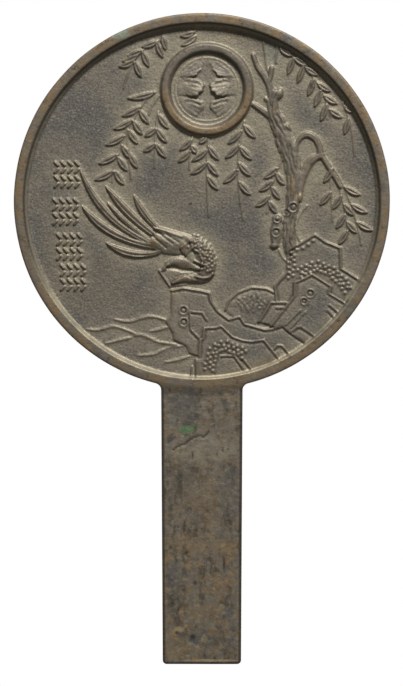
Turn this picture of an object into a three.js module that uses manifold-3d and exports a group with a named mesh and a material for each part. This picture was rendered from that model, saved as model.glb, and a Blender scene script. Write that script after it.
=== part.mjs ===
// A cast bronze hand mirror: a round disc with a raised rim, a flat handle, and a picture cast in low relief.
// Millimetres, +Z up. It lies on its polished face, which is the plane z = 0. The relief looks up along +Z,
// the handle runs out along -Y, and the origin is the middle of the polished disc.
// It is one casting, so it is one solid. The picture's places are counted in steps of a drawing grid with
// 110 steps across the field, from the disc's centre, so the picture keeps its layout on a disc of any size.
import * as THREE from "three";
import { mergeVertices } from "three/addons/utils/BufferGeometryUtils.js";
import Module from "manifold-3d";

const wasm = await Module();
wasm.setup();
const { Manifold, Mesh } = wasm;

// Disc and rim
const DISC_DIAMETER = 120;
const FIELD_THICKNESS = 2.0;
const RIM_HEIGHT = 4.4;
const RIM_TOP_WIDTH = 2.7;
const RIM_SLOPE_WIDTH = 2.3;
const EDGE_BEVEL = 0.45;
const DISC_SIDES = 96;

// Handle
const HANDLE_LENGTH = 87.8;
const HANDLE_ROOT_WIDTH = 26.0;
const HANDLE_END_WIDTH = 25.0;
const HANDLE_THICKNESS = 3.8;
const ROOT_FILLET = 2.4;
const END_CORNER_RADIUS = 1.2;

// Raised ring with the leaf roundel
const RING_OUTER_RADIUS = 14.9;
const RING_WIDTH = 4;
const RING_RISE = 1.5;
const RING_SIDES = 40;

// Heights of the relief above what it stands on
const LEAF_RISE = 0.5;
const STEM_RISE = 0.22;
const FEATHER_RISE = 0.8;
const TRUNK_RISE = 0.85;
const BODY_RISE = 1.1;
const ROCK_RISE = 0.45;
const LIP_RISE = 0.28;
const WAVE_RISE = 0.32;
const BEAD_RISE = 0.32;
const STROKE_RISE = 0.4;
const ROUNDEL_RISE = 0.5;

// Widths of the relief
const LEAF_WIDTH = 1.9;
const STEM_WIDTH = 0.55;
const LIP_WIDTH = 0.9;
const WAVE_WIDTH = 0.9;
const BEAD_DIAMETER = 1.05;
const BEAD_SIDES = 6;
const STROKE_WIDTH = 0.75;

// How far the foot of each form is sunk into what carries it, and the size under which the union's slivers go
const SINK = 0.3;
const SMALLEST_DETAIL = 0.02;

const DISC_RADIUS = DISC_DIAMETER / 2;
const FIELD_RADIUS = DISC_RADIUS - RIM_TOP_WIDTH - RIM_SLOPE_WIDTH;
const STEP = FIELD_RADIUS / 55;

// Sections from the left foot over the crest to the right foot, as shares of half the width and of the rise
const RIDGE = [[-1, 0], [0, 1], [1, 0]];
const ROUND = [[-1, 0], [-0.62, 0.8], [0, 1], [0.62, 0.8], [1, 0]];

// Willow twigs, each a curve from its top past a bend to its tip. The leaves stand at shares of the curve,
// and long and aim give the left and the right leaves' length and direction in degrees.
const TWIGS = [
  { from: [-17.5, 33], bend: [-27, 20], tip: [-28.6, 6], long: [7.4, 5.8], aim: [-154, -56],
    left: [0.1, 0.26, 0.45, 0.67, 0.86], right: [0.14, 0.27, 0.38, 0.56, 0.7, 0.86] },
  { from: [-23.8, 23], bend: [-23.6, 14], tip: [-22.5, 7], long: [0, 6.2], aim: [0, -61],
    left: [], right: [0.42] },
  { from: [-13.9, 28.5], bend: [-15, 24], tip: [-15, 10.5], long: [4.9, 6.1], aim: [-144, -54],
    left: [0.4, 0.66], right: [0.06, 0.4, 0.66] },
  { from: [-12.5, 51.6], bend: [-21.5, 50], tip: [-25, 36], long: [5.6, 5.9], aim: [-160, -67],
    left: [0.1, 0.4, 0.52, 0.62], right: [0.12, 0.42, 0.62] },
  { from: [-3, 20.5], bend: [-3.8, 15], tip: [-4, 10], long: [5.7, 3.2], aim: [-138, -57],
    left: [0.05, 0.4], right: [0.24] },
  { from: [2.2, 20.3], bend: [1, 10], tip: [2.2, -5], long: [6.8, 6.1], aim: [-144, -52],
    left: [0.17, 0.35], right: [0.12, 0.34, 0.52] },
  { from: [13.6, 25.6], bend: [9.8, 12], tip: [13.3, -6], long: [6.8, 6.1], aim: [-137, -48],
    left: [0.1, 0.26, 0.52], right: [0.04, 0.28, 0.45, 0.64] },
  { from: [26, 14], bend: [22.2, 8], tip: [20.8, -4], long: [6, 5], aim: [-143, -56],
    left: [0.24, 0.49, 0.74], right: [0.34, 0.6, 0.82] },
  { from: [23, 50], bend: [37.5, 43], tip: [41.2, 27], long: [6.3, 5.4], aim: [-110, -32],
    left: [0.24, 0.38, 0.56, 0.7, 0.86], right: [0.06, 0.24, 0.4, 0.62, 0.77, 0.92] },
  { from: [45, 31.5], bend: [48.2, 25], tip: [48.8, 14.5], long: [5.7, 3.8], aim: [-105, -34],
    left: [0.34], right: [0.08] },
  { from: [38.5, 15], bend: [47.5, 5.5], tip: [51, -14], long: [6, 6.2], aim: [-122, -27],
    left: [0.2], right: [0.44, 0.63, 0.8] },
  { from: [41, 9.5], bend: [41.4, 1], tip: [41.8, -6.5], long: [6, 0], aim: [-130, 0],
    left: [0.38], right: [] },
  { from: [43.2, 7.5], bend: [45.4, 0], tip: [46.8, -10.4], long: [5.8, 5.2], aim: [-123, -49],
    left: [0.34, 0.68, 0.94], right: [0.5, 0.8] },
];

// Leaves that stand alone: base, direction in degrees, length
const LOOSE_LEAVES = [
  [-14.5, 35, 192, 10], [-12.6, 53, 283, 5], [-1.6, 53, 213, 6.3], [1.6, 20.8, 222, 3.6],
];

// Thin raised lines beside the twigs, each from, bend, tip
const FINE_STEMS = [
  [[-13.4, 34], [-16.2, 31], [-17, 27.5]],
  [[33.6, -1.6], [27.5, -9], [31.6, -13]],
  [[24.6, -15.4], [25.2, -17.5], [27, -19.2]],
  [[22.2, 38], [20.3, 43], [19.8, 51]],
  [[23.6, 44.3], [23.8, 47], [24.1, 49.6]],
];

// The trunk and its branches: points of the middle line with the width there
const TRUNK = [
  [28, -15.5, 3.6], [28.4, -9, 4.2], [28.7, -3, 4.4], [29.2, 4, 4], [28.8, 11, 4.2], [27.2, 17, 5],
  [24.9, 23, 4.9], [22.8, 28, 4], [23.2, 32, 3.2], [24.4, 34.2, 2.6], [24.8, 36.4, 1.4],
];
const BRANCHES = [
  [[23, 32, 2.4], [22.4, 36.2, 2.2], [20.2, 40.2, 1.8], [18, 43.6, 1.3], [16.6, 46.6, 1.1]],
  [[21.6, 39, 1.1], [22, 41, 1.6], [22.3, 42.8, 0.9]],
  [[23.4, 26.4, 2.4], [20.2, 28.2, 1.8], [15.4, 31.4, 1]],
  [[30.6, 20, 0.7], [32, 21.8, 1.1], [34.6, 21.9, 1.3], [37, 19.6, 1.4], [38.1, 16.6, 1.4],
    [37.8, 14.4, 1.4]],
  [[38.2, 14.6, 1.2], [35.4, 13.4, 2.2], [33.4, 10.2, 2.2], [32, 6.4, 1.6], [30.6, 1.4, 1.6]],
  [[38, 15, 1.4], [41, 10, 1.1], [44.2, 4.4, 0.8]],
  [[23.6, -4.8, 1.6], [23.8, -9, 3.6], [23.7, -13.6, 1.6]],
];

// Rocks: outline, how many of its first points carry a raised lip, and the rock's level in layers
const ROCKS = [
  { name: "hill", level: 0.7, lipped: 6,
    outline: [[7.5, -34.8], [8.6, -31.8], [11.6, -29.2], [16, -27.6], [20.6, -28], [23.4, -29.4],
      [23.4, -32], [17, -39.4], [12, -38.4]] },
  { name: "cliff", level: 1, lipped: 11,
    outline: [[23.8, -31.8], [23.2, -27.2], [27.4, -22.6], [27.4, -15.9], [31.6, -13.4], [36.1, -10.7],
      [39.6, -13.2], [44.3, -15], [44.6, -21.6], [50.6, -25.4], [50.9, -26.4],
      [44, -36], [26, -37]] },
  { name: "cliff_front", level: 1.9, lipped: 8,
    outline: [[22, -39.8], [29.6, -30.2], [29.7, -26], [32.6, -24.8], [35.2, -23.4], [41.2, -27.2],
      [40.7, -29.6], [46.8, -33.2], [44, -36.9], [36.4, -44.1], [28.3, -41.7]] },
  { name: "ledge", level: 1.4, lipped: 3,
    outline: [[18.2, -38.6], [22, -32.4], [27.6, -32.4], [22.4, -39.6]] },
  { name: "bank", level: 1.2, lipped: 8,
    outline: [[8.7, -37.8], [12.1, -36.9], [13.7, -39.3], [20, -41.1], [22.4, -40.9], [25.9, -39.7],
      [28.2, -41.9], [33.8, -45.6], [26, -50.4], [8, -45], [5.4, -39.8]] },
  { name: "bank_end", level: 1.7, lipped: 4,
    outline: [[28.3, -41.8], [30.2, -40.3], [31.7, -40.1], [36.6, -43.5], [34.2, -45.6]] },
  { name: "perch", level: 1.3, lipped: 7,
    outline: [[-9.7, -28.6], [-6, -27.8], [0, -28.8], [2.4, -29.4], [2.9, -32], [5, -35.1], [8.6, -37.9],
      [5.8, -39.9], [0.6, -40.5], [0.2, -44], [-0.8, -49.4], [-4, -48.6], [-4.9, -46.2], [-9, -44.2],
      [-9.2, -42.2], [-11.6, -38.3], [-9.8, -36.2]] },
  { name: "perch_shelf", level: 0.9, lipped: 3,
    outline: [[-11.6, -21.8], [-13.6, -22.3], [-10.2, -27.2], [-5, -27], [-3, -22.6]] },
  { name: "front", level: 1.8, lipped: 12,
    outline: [[-0.9, -49.6], [-0.5, -44.4], [0.4, -43.9], [0.7, -40.6], [4.6, -40.4], [6.1, -39.8],
      [9.9, -43.4], [13, -44.5], [16, -44.9], [19.8, -44.3], [22.2, -47.3], [24.6, -50.4],
      [12, -56], [-2.2, -57.2], [-2.2, -50.4]] },
  { name: "front_end", level: 1.5, lipped: 4,
    outline: [[22.5, -47.5], [24.1, -46], [25.7, -46.2], [28.6, -49.6], [25.2, -51.4]] },
  { name: "foot", level: 0.8, lipped: 2,
    outline: [[-3.4, -56.8], [-3.2, -52.8], [-1.8, -50.2], [-1.6, -57.1]] },
];

// Lines cut on the rocks, as low ridges: points, and the rock that carries them
const ROCK_LINES = [
  { rock: "perch", points: [[1.6, -38], [0.2, -35.7], [-3.8, -35.3], [-3.6, -41], [-1, -43.6]] },
  { rock: "front", points: [[4.4, -54.6], [5.8, -49.4], [10.4, -49.4], [13.2, -53.4]] },
  { rock: "front", points: [[13, -50.2], [15.8, -53.6]] },
  { rock: "cliff_front", points: [[31.6, -34.8], [26.8, -39.6]] },
  { rock: "cliff_front", points: [[33, -35.4], [28.6, -40.4]] },
  { rock: "cliff_front", points: [[40.8, -33.1], [44.2, -36]] },
  { rock: "cliff_front", points: [[40.4, -35], [42.6, -37.2]] },
  { rock: "ledge", points: [[23.8, -34], [26.2, -34]] },
];

// Small rings, and bands of beads along a line of points with a number of rows
const SMALL_RINGS = [
  { at: [-5.9, -34.9], radius: 1.35, rock: "perch" },
  { at: [-5.8, -38.7], radius: 1.35, rock: "perch" },
  { at: [34.6, -29.5], radius: 1.35, rock: "cliff_front" },
  { at: [32.7, -32], radius: 1.1, rock: "cliff_front" },
];
const BEAD_BANDS = [
  { rock: "cliff", rows: 2, pitch: 1.7, path: [[31.2, -23.2], [36.4, -20.8], [42.2, -23.2], [46.8, -28.4]] },
  { rock: "front", rows: 2, pitch: 1.7,
    path: [[2.2, -54], [3.4, -48.6], [6.2, -46.2], [10.4, -47.2], [13.4, -49]] },
  { rock: "cliff", rows: 1, pitch: 2, path: [[29.2, -16.6], [28.7, -20], [28.4, -24.6]] },
];

// Waves: ridges with the points that they follow
const WAVES = [
  [[-28, -37.6], [-23, -38.4], [-16.5, -36.8], [-12, -38]],
  [[-37, -40.7], [-33, -41.1], [-28.4, -40], [-25, -40.8], [-21.4, -42.1]],
  [[-30.6, -45.3], [-24, -43.8], [-19.5, -42.7], [-14, -44.9], [-8, -45.6]],
  [[-16.4, -41.4], [-13.4, -41], [-11, -40]],
  [[-20.4, -49.2], [-15, -48.8], [-11, -46.8], [-6, -46]],
  [[-11.6, -51.3], [-7, -50.6], [-3.8, -49.2]],
];

// The bird's long tail feathers, each from root past a bend to its tip, with its greatest width
const FEATHERS = [
  { root: [-15.5, -14], bend: [-33.5, -6], tip: [-39.2, 11], wide: 2.4 },
  { root: [-15, -13.6], bend: [-25.5, -7], tip: [-30.4, 0], wide: 2 },
  { root: [-14, -11.6], bend: [-24, -4.5], tip: [-31, 5.2], wide: 2.9 },
  { root: [-13.4, -9.4], bend: [-19.5, -4], tip: [-21.8, 2.2], wide: 2.3 },
  { root: [-15.5, -14.6], bend: [-31.5, -11.5], tip: [-38.6, -1], wide: 2.8 },
  { root: [-14, -16.4], bend: [-23, -18.8], tip: [-31, -13], wide: 2.6 },
];
const FEATHER_STEPS = 7;

// The bird's body as low mounds: middle line points with width, and the share of the body's rise
const BODY_MOUNDS = [
  { rise: 0.95,
    line: [[-17, -13.6, 2.4], [-14.6, -13.2, 6], [-11, -13.5, 7], [-7, -14.2, 6.4], [-4.6, -15.2, 4.2]] },
  { rise: 0.8,
    line: [[-15.4, -8.4, 0.6], [-13, -9.2, 1.5], [-9, -10.5, 1.8], [-5.4, -11.4, 1.8], [-2.6, -12.3, 1.6]] },
  { rise: 1.05,
    line: [[-4, -12.6, 2.4], [-1, -14.8, 5.4], [0.7, -17.6, 6.8], [1.3, -20.8, 6.4], [1, -23.2, 3.6]] },
  { rise: 0.8,
    line: [[-12.4, -21.6, 0.8], [-9.8, -19.8, 2.4], [-6.4, -19.6, 3.8], [-3.2, -20.4, 3.6],
      [-0.6, -22, 2.2]] },
  { rise: 0.95,
    line: [[-9.4, -26.2, 1], [-6, -24.8, 2.6], [-2, -24.8, 2.8], [1.4, -24.8, 2.2], [3.4, -23.4, 1]] },
];
const NECK_BEADS = { rows: 3, pitch: 1.5, path: [[-3.4, -12.6], [0.6, -14.6], [2.2, -18], [1.8, -22.6]] };

// The leaf roundel inside the ring: the lobes of one half, mirrored to the other, in shares of the ring's
// inside
const ROUNDEL_CENTRE = [1.6, 35.7];
const LOBES = [
  { root: [0.07, 0.86], bend: [0.5, 0.66], tip: [0.8, 0.3], wide: 0.38 },
  { root: [0.12, 0.14], bend: [0.5, 0.08], tip: [0.88, -0.06], wide: 0.46 },
  { root: [0.1, -0.38], bend: [0.36, -0.5], tip: [0.64, -0.68], wide: 0.42 },
];
const LOBE_STEPS = 6;
const ROUNDEL_LINE_SHARE = 0.9;

// Blocks of short slanting strokes down the left side of the picture
const STROKE_BLOCKS = [[-43.2, 8.5], [-43.6, -3.4], [-42.4, -14.6], [-41.2, -24.4]];
const STROKE_ROWS = 4;
const STROKES_IN_ROW = 3;
const STROKE_LENGTH = 2.1;
const STROKE_GAP = 0.8;
const STROKE_ROW_PITCH = 2.3;
const STROKE_SLANT = 0.35;

// A solid from a list of corners and triangles
function solidOf(corners, triangles) {
  const mesh = new Mesh({
    numProp: 3,
    vertProperties: new Float32Array(corners.flat()),
    triVerts: new Uint32Array(triangles.flat()),
  });
  return new Manifold(mesh);
}

// A solid from a closed three.js geometry
function solidOfGeometry(geometry) {
  const bare = geometry.index ? geometry.toNonIndexed() : geometry;
  bare.deleteAttribute("normal");
  bare.deleteAttribute("uv");
  const merged = mergeVertices(bare, 1e-4);
  return new Manifold(new Mesh({
    numProp: 3,
    vertProperties: merged.attributes.position.array,
    triVerts: new Uint32Array(merged.index.array),
  }));
}

// A mound along a line of stations {x, y, half, rise}, with the given section, standing on ground.
// A closed line runs round and joins its own start.
function mound(stations, section, ground, closed = false) {
  const corners = [];
  const count = stations.length;
  stations.forEach(({ x, y, half, rise }, i) => {
    const before = stations[closed ? (i + count - 1) % count : Math.max(i - 1, 0)];
    const after = stations[closed ? (i + 1) % count : Math.min(i + 1, count - 1)];
    const along = Math.hypot(after.x - before.x, after.y - before.y) || 1;
    const across = [-(after.y - before.y) / along, (after.x - before.x) / along];
    section.forEach(([share, up], j) => {
      const isFoot = j === 0 || j === section.length - 1;
      const inner = section[j === 0 ? 1 : section.length - 2];
      const flare = (Math.abs(share) - Math.abs(inner[0])) / (inner[1] * rise);
      const spread = isFoot && rise > 0 ? flare * SINK : 0;
      const offset = half * (share + Math.sign(share) * spread);
      const height = ground - SINK + (isFoot ? 0 : (rise + SINK) * up);
      corners.push([x - across[0] * offset, y - across[1] * offset, height]);
    });
  });
  const n = section.length;
  const triangles = [];
  const quad = (a, b, c, d) => triangles.push([a, b, c], [a, c, d]);
  for (let i = 0; i < (closed ? count : count - 1); i++) {
    const here = i * n;
    const next = ((i + 1) % count) * n;
    for (let j = 0; j < n - 1; j++) quad(here + j, here + j + 1, next + j + 1, next + j);
    quad(here + n - 1, here, next, next + n - 1);
  }
  if (!closed) {
    const last = (count - 1) * n;
    for (let j = 1; j < n - 1; j++) triangles.push([0, j + 1, j], [last, last + j, last + j + 1]);
  }
  const made = solidOf(corners, triangles);
  return made.volume() < 0 ? solidOf(corners, triangles.map(([a, b, c]) => [a, c, b])) : made;
}

// The point of a curve from a towards the bend b and on to c, at share t
function onCurve([a, b, c], t) {
  const s = 1 - t;
  const [x, y] = [0, 1].map((k) => s * s * a[k] + 2 * s * t * b[k] + t * t * c[k]);
  return { x, y };
}

// A tapering mound along a curve, with its width following the given profile of shares
function taperedMound(curve, steps, wide, rise, profile, section, ground) {
  const stations = [];
  for (let i = 0; i <= steps; i++) {
    const { x, y } = onCurve(curve, i / steps);
    const share = profile(i / steps);
    stations.push({ x: x * STEP, y: y * STEP, half: (share * wide) / 2, rise: share > 0 ? rise : -SINK });
  }
  return mound(stations, section, ground);
}

const leafProfile = (t) => (t === 0 || t === 1 ? 0 : Math.sin(Math.PI * Math.pow(t, 0.85)));
const stemProfile = (t) => (t === 0 || t === 1 ? 0 : 1);
const featherProfile = (t) => (t === 1 ? 0 : Math.min(1, 0.5 + 0.8 * t) * Math.sqrt(Math.max(0, 1 - t ** 3)));
const lobeProfile = (t) => Math.sqrt(Math.max(0, 1 - (2 * t - 1) ** 2));
const LEAF_STEPS = 3;
const STEM_STEPS = 4;

// A willow leaf from its base, with the direction of its length in radians, bowed a little downwards
function leaf(x, y, angle, length) {
  const sag = 0.07 * length;
  const tip = [x + length * Math.cos(angle), y + length * Math.sin(angle)];
  const bend = [(x + tip[0]) / 2, (y + tip[1]) / 2 - sag];
  const curve = [[x, y], bend, tip];
  return taperedMound(curve, LEAF_STEPS, LEAF_WIDTH, LEAF_RISE, leafProfile, RIDGE, FIELD_THICKNESS);
}

function stem(curve) {
  return taperedMound(curve, STEM_STEPS, STEM_WIDTH, STEM_RISE, stemProfile, RIDGE, FIELD_THICKNESS);
}

function willow() {
  const made = [];
  for (const { from, bend, tip, left, right, long, aim } of TWIGS) {
    const curve = [from, bend, tip];
    made.push(stem(curve));
    [left, right].forEach((places, side) => {
      for (const place of places) {
        const { x, y } = onCurve(curve, place);
        made.push(leaf(x, y, THREE.MathUtils.degToRad(aim[side]), long[side]));
      }
    });
  }
  for (const [x, y, degrees, length] of LOOSE_LEAVES) {
    made.push(leaf(x, y, THREE.MathUtils.degToRad(degrees), length));
  }
  for (const curve of FINE_STEMS) made.push(stem(curve));
  return made;
}

// A mound along listed points [x, y, width]
function limb(line, rise, section, ground = FIELD_THICKNESS) {
  const stations = line.map(([x, y, wide]) => ({ x: x * STEP, y: y * STEP, half: (wide * STEP) / 2, rise }));
  return mound(stations, section, ground);
}

// A low ridge of even width along listed points
function ridge(points, wide, rise, ground) {
  const stations = points.map(([x, y]) => ({ x: x * STEP, y: y * STEP, half: wide / 2, rise }));
  return mound(stations, RIDGE, ground);
}

function smallRing([x, y], radius, ground) {
  const sides = 10;
  const stations = [];
  for (let i = 0; i < sides; i++) {
    const a = (2 * Math.PI * i) / sides;
    const [east, north] = [x + radius * Math.cos(a), y + radius * Math.sin(a)];
    stations.push({ x: east * STEP, y: north * STEP, half: LIP_WIDTH / 2, rise: LIP_RISE });
  }
  return mound(stations, RIDGE, ground, true);
}

// A pointed bead whose straight foot goes down into the field
function bead(x, y, ground) {
  const foot = FIELD_THICKNESS - SINK;
  const radius = BEAD_DIAMETER / 2;
  const profile = [[0, foot], [radius, foot], [radius, ground], [0, ground + BEAD_RISE]];
  const post = new THREE.LatheGeometry(profile.map(([r, z]) => new THREE.Vector2(r, z)), BEAD_SIDES);
  post.rotateX(Math.PI / 2);
  post.translate(x, y, 0);
  return solidOfGeometry(post);
}

// Staggered rows of beads beside a line of points
function beadBand({ path, rows, pitch }, ground) {
  const curve = new THREE.CatmullRomCurve3(path.map(([x, y]) => new THREE.Vector3(x * STEP, y * STEP, 0)));
  const count = Math.floor(curve.getLength() / (pitch * STEP));
  const made = [];
  for (let row = 0; row < rows; row++) {
    for (let i = 0; i < count; i++) {
      const t = (i + (row % 2 ? 0.75 : 0.25)) / count;
      const at = curve.getPointAt(t);
      const way = curve.getTangentAt(t);
      const off = (row - (rows - 1) / 2) * pitch * 0.8 * STEP;
      made.push(bead(at.x - way.y * off, at.y + way.x * off, ground));
    }
  }
  return made;
}

const rockTop = (name) => FIELD_THICKNESS + ROCK_RISE * ROCKS.find((rock) => rock.name === name).level;

function rocks() {
  const made = [];
  for (const { name, outline, lipped } of ROCKS) {
    const shape = new THREE.Shape(outline.map(([x, y]) => new THREE.Vector2(x * STEP, y * STEP)));
    const top = rockTop(name);
    const depth = top - FIELD_THICKNESS + SINK;
    const plate = new THREE.ExtrudeGeometry(shape, { depth, bevelEnabled: false });
    plate.translate(0, 0, FIELD_THICKNESS - SINK);
    const lip = ridge(outline.slice(0, lipped), LIP_WIDTH, top - FIELD_THICKNESS + LIP_RISE, FIELD_THICKNESS);
    made.push(solidOfGeometry(plate), lip);
  }
  for (const { rock, points } of ROCK_LINES) {
    made.push(ridge(points, STEM_WIDTH, LIP_RISE, rockTop(rock)));
  }
  for (const { at, radius, rock } of SMALL_RINGS) made.push(smallRing(at, radius, rockTop(rock)));
  for (const band of BEAD_BANDS) made.push(...beadBand(band, rockTop(band.rock)));
  return made;
}

function bird() {
  const made = FEATHERS.map(({ root, bend, tip, wide }) =>
    taperedMound([root, bend, tip], FEATHER_STEPS, wide * STEP, FEATHER_RISE, featherProfile, RIDGE,
      FIELD_THICKNESS));
  for (const { rise, line } of BODY_MOUNDS) made.push(limb(line, rise * BODY_RISE, ROUND));
  made.push(...beadBand(NECK_BEADS, FIELD_THICKNESS + BODY_RISE * 0.9));
  return made;
}

// The raised ring, with a thin circle and three mirrored pairs of leaves inside it
function roundel() {
  const [cx, cy] = ROUNDEL_CENTRE.map((v) => v * STEP);
  const inside = RING_OUTER_RADIUS - RING_WIDTH;
  const foot = FIELD_THICKNESS - SINK;
  const top = FIELD_THICKNESS + RING_RISE;
  const profile = [
    [inside, foot], [RING_OUTER_RADIUS, foot], [RING_OUTER_RADIUS, FIELD_THICKNESS + RING_RISE * 0.4],
    [RING_OUTER_RADIUS - RING_WIDTH * 0.15, top], [RING_OUTER_RADIUS - RING_WIDTH * 0.42, top],
    [RING_OUTER_RADIUS - RING_WIDTH * 0.68, FIELD_THICKNESS + RING_RISE * 0.35],
    [inside, FIELD_THICKNESS], [inside, foot],
  ].map(([r, z]) => new THREE.Vector2(r, z));
  const band = new THREE.LatheGeometry(profile, RING_SIDES);
  band.rotateX(Math.PI / 2);
  band.translate(cx, cy, 0);
  const made = [solidOfGeometry(band)];
  const line = [];
  for (let i = 0; i < RING_SIDES / 2; i++) {
    const a = (4 * Math.PI * i) / RING_SIDES;
    const r = inside * ROUNDEL_LINE_SHARE;
    line.push({ x: cx + r * Math.cos(a), y: cy + r * Math.sin(a), half: STEM_WIDTH / 2, rise: STEM_RISE });
  }
  made.push(mound(line, RIDGE, FIELD_THICKNESS, true));
  for (const side of [-1, 1]) {
    for (const { root, bend, tip, wide } of LOBES) {
      const place = ([x, y]) => [(cx + side * x * inside) / STEP, (cy + y * inside) / STEP];
      const curve = [root, bend, tip].map(place);
      made.push(
        taperedMound(curve, LOBE_STEPS, wide * inside, ROUNDEL_RISE, lobeProfile, ROUND, FIELD_THICKNESS));
    }
  }
  return made;
}

// Every block is rows of strokes that all slant one way, and each row starts half a stroke further on
function strokes() {
  const made = [];
  const pitch = STROKE_LENGTH + STROKE_GAP;
  for (const [cx, cy] of STROKE_BLOCKS) {
    for (let row = 0; row < STROKE_ROWS; row++) {
      for (let i = 0; i < STROKES_IN_ROW; i++) {
        const x = cx + (i - (STROKES_IN_ROW - 1) / 2) * pitch + (row % 2 ? 0.25 : -0.25) * pitch;
        const y = cy + (row - (STROKE_ROWS - 1) / 2) * STROKE_ROW_PITCH;
        const ends = [-1, 1].map((end) => [x + (end * STROKE_LENGTH) / 2, y + end * STROKE_SLANT]);
        made.push(ridge(ends, STROKE_WIDTH, STROKE_RISE, FIELD_THICKNESS));
      }
    }
  }
  return made;
}

function disc() {
  const top = RIM_HEIGHT;
  const rimInside = DISC_RADIUS - RIM_TOP_WIDTH;
  const profile = [
    [0, 0], [DISC_RADIUS - EDGE_BEVEL, 0], [DISC_RADIUS, EDGE_BEVEL], [DISC_RADIUS, top - EDGE_BEVEL],
    [DISC_RADIUS - EDGE_BEVEL, top], [rimInside, top],
    [FIELD_RADIUS + RIM_SLOPE_WIDTH * 0.4, FIELD_THICKNESS + (top - FIELD_THICKNESS) * 0.25],
    [FIELD_RADIUS, FIELD_THICKNESS], [0, FIELD_THICKNESS],
  ].map(([r, z]) => new THREE.Vector2(r, z));
  const turned = new THREE.LatheGeometry(profile, DISC_SIDES);
  turned.rotateX(Math.PI / 2);
  return solidOfGeometry(turned);
}

// The handle's outline starts under the rim's flat top, leaves it in a fillet on each side and ends in round
// corners
function handle() {
  const rootHalf = HANDLE_ROOT_WIDTH / 2;
  const endHalf = HANDLE_END_WIDTH / 2;
  const endY = -DISC_RADIUS - HANDLE_LENGTH;
  const filletX = rootHalf + ROOT_FILLET;
  const filletY = -Math.sqrt((DISC_RADIUS + ROOT_FILLET) ** 2 - filletX ** 2);
  const meet = Math.atan2(-filletY, -filletX);
  const spread = Math.asin(filletX / (DISC_RADIUS + ROOT_FILLET)) + THREE.MathUtils.degToRad(1.5);
  const shape = new THREE.Shape();
  shape.absarc(0, 0, DISC_RADIUS - RIM_TOP_WIDTH / 2, -Math.PI / 2 - spread, -Math.PI / 2 + spread, false);
  shape.absarc(filletX, filletY, ROOT_FILLET, meet, Math.PI, false);
  const cornerX = endHalf - END_CORNER_RADIUS;
  const cornerY = endY + END_CORNER_RADIUS;
  shape.absarc(cornerX, cornerY, END_CORNER_RADIUS, 0, -Math.PI / 2, true);
  shape.absarc(-cornerX, cornerY, END_CORNER_RADIUS, -Math.PI / 2, -Math.PI, true);
  shape.absarc(-filletX, filletY, ROOT_FILLET, 0, Math.PI - meet, false);
  const slab = new THREE.ExtrudeGeometry(shape, {
    depth: HANDLE_THICKNESS - 2 * EDGE_BEVEL,
    bevelSize: EDGE_BEVEL,
    bevelOffset: -EDGE_BEVEL,
    bevelThickness: EDGE_BEVEL,
    bevelSegments: 1,
    curveSegments: 5,
  });
  slab.translate(0, 0, EDGE_BEVEL);
  return solidOfGeometry(slab);
}

// Manifold solids as a three.js mesh
function meshOf(name, solid, material) {
  const { vertProperties, triVerts, numProp } = solid.getMesh();
  const geometry = new THREE.BufferGeometry();
  const corners = new Float32Array((vertProperties.length / numProp) * 3);
  for (let i = 0; i < corners.length / 3; i++) {
    corners.set(vertProperties.subarray(i * numProp, i * numProp + 3), i * 3);
  }
  geometry.setAttribute("position", new THREE.BufferAttribute(corners, 3));
  geometry.setIndex(new THREE.BufferAttribute(triVerts, 1));
  geometry.computeVertexNormals();
  const mesh = new THREE.Mesh(geometry, material);
  mesh.name = name;
  return mesh;
}

const bronze = new THREE.MeshStandardMaterial({ color: 0x6e6150, roughness: 0.55, metalness: 0.7 });
const casting = Manifold.union([disc(), handle(), ...willow(), limb(TRUNK, TRUNK_RISE, ROUND),
  ...BRANCHES.map((line) => limb(line, TRUNK_RISE * 0.6, RIDGE)),
  ...WAVES.map((points) => ridge(points, WAVE_WIDTH, WAVE_RISE, FIELD_THICKNESS)),
  ...rocks(), ...bird(), ...roundel(), ...strokes()]).simplify(SMALLEST_DETAIL);

const mirror = new THREE.Group();
mirror.add(meshOf("mirror", casting, bronze));
export default mirror;
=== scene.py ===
"""An old cast bronze hand mirror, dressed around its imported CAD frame.

It lies with its polished face down. The casting is one sheet of faces that is spread into a disc, drawn
out into the handle, carried over the edge and closed at the back, and the picture on it is raised by a
height map that ridges, mounds, rocks and beads are pressed into. Its finish is one tarnished bronze with
a dulled mirror face. The tables give places and sizes in millimetres from the disc's centre.
"""

import math

import bmesh
import bpy
import numpy as np
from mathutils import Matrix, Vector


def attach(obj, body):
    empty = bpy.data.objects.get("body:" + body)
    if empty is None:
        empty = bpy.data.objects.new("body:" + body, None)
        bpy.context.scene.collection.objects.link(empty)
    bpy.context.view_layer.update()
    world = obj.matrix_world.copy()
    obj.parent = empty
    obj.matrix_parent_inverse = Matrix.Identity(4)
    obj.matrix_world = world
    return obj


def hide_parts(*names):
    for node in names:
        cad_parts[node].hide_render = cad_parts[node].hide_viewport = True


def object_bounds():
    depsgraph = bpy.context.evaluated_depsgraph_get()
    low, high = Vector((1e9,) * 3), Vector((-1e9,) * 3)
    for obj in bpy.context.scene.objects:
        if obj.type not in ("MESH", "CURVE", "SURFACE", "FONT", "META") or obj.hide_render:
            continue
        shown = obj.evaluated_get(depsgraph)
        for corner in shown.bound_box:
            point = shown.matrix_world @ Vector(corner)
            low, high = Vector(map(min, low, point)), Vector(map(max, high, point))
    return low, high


bl_info = {
    "name": "Bronze Hand Mirror",
    "version": (1, 0, 0),
    "blender": (4, 5, 0),
    "location": "View3D > Sidebar > Mirror",
    "description": "Casts and finishes an old bronze hand mirror and its studio",
    "category": "Object",
}

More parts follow.
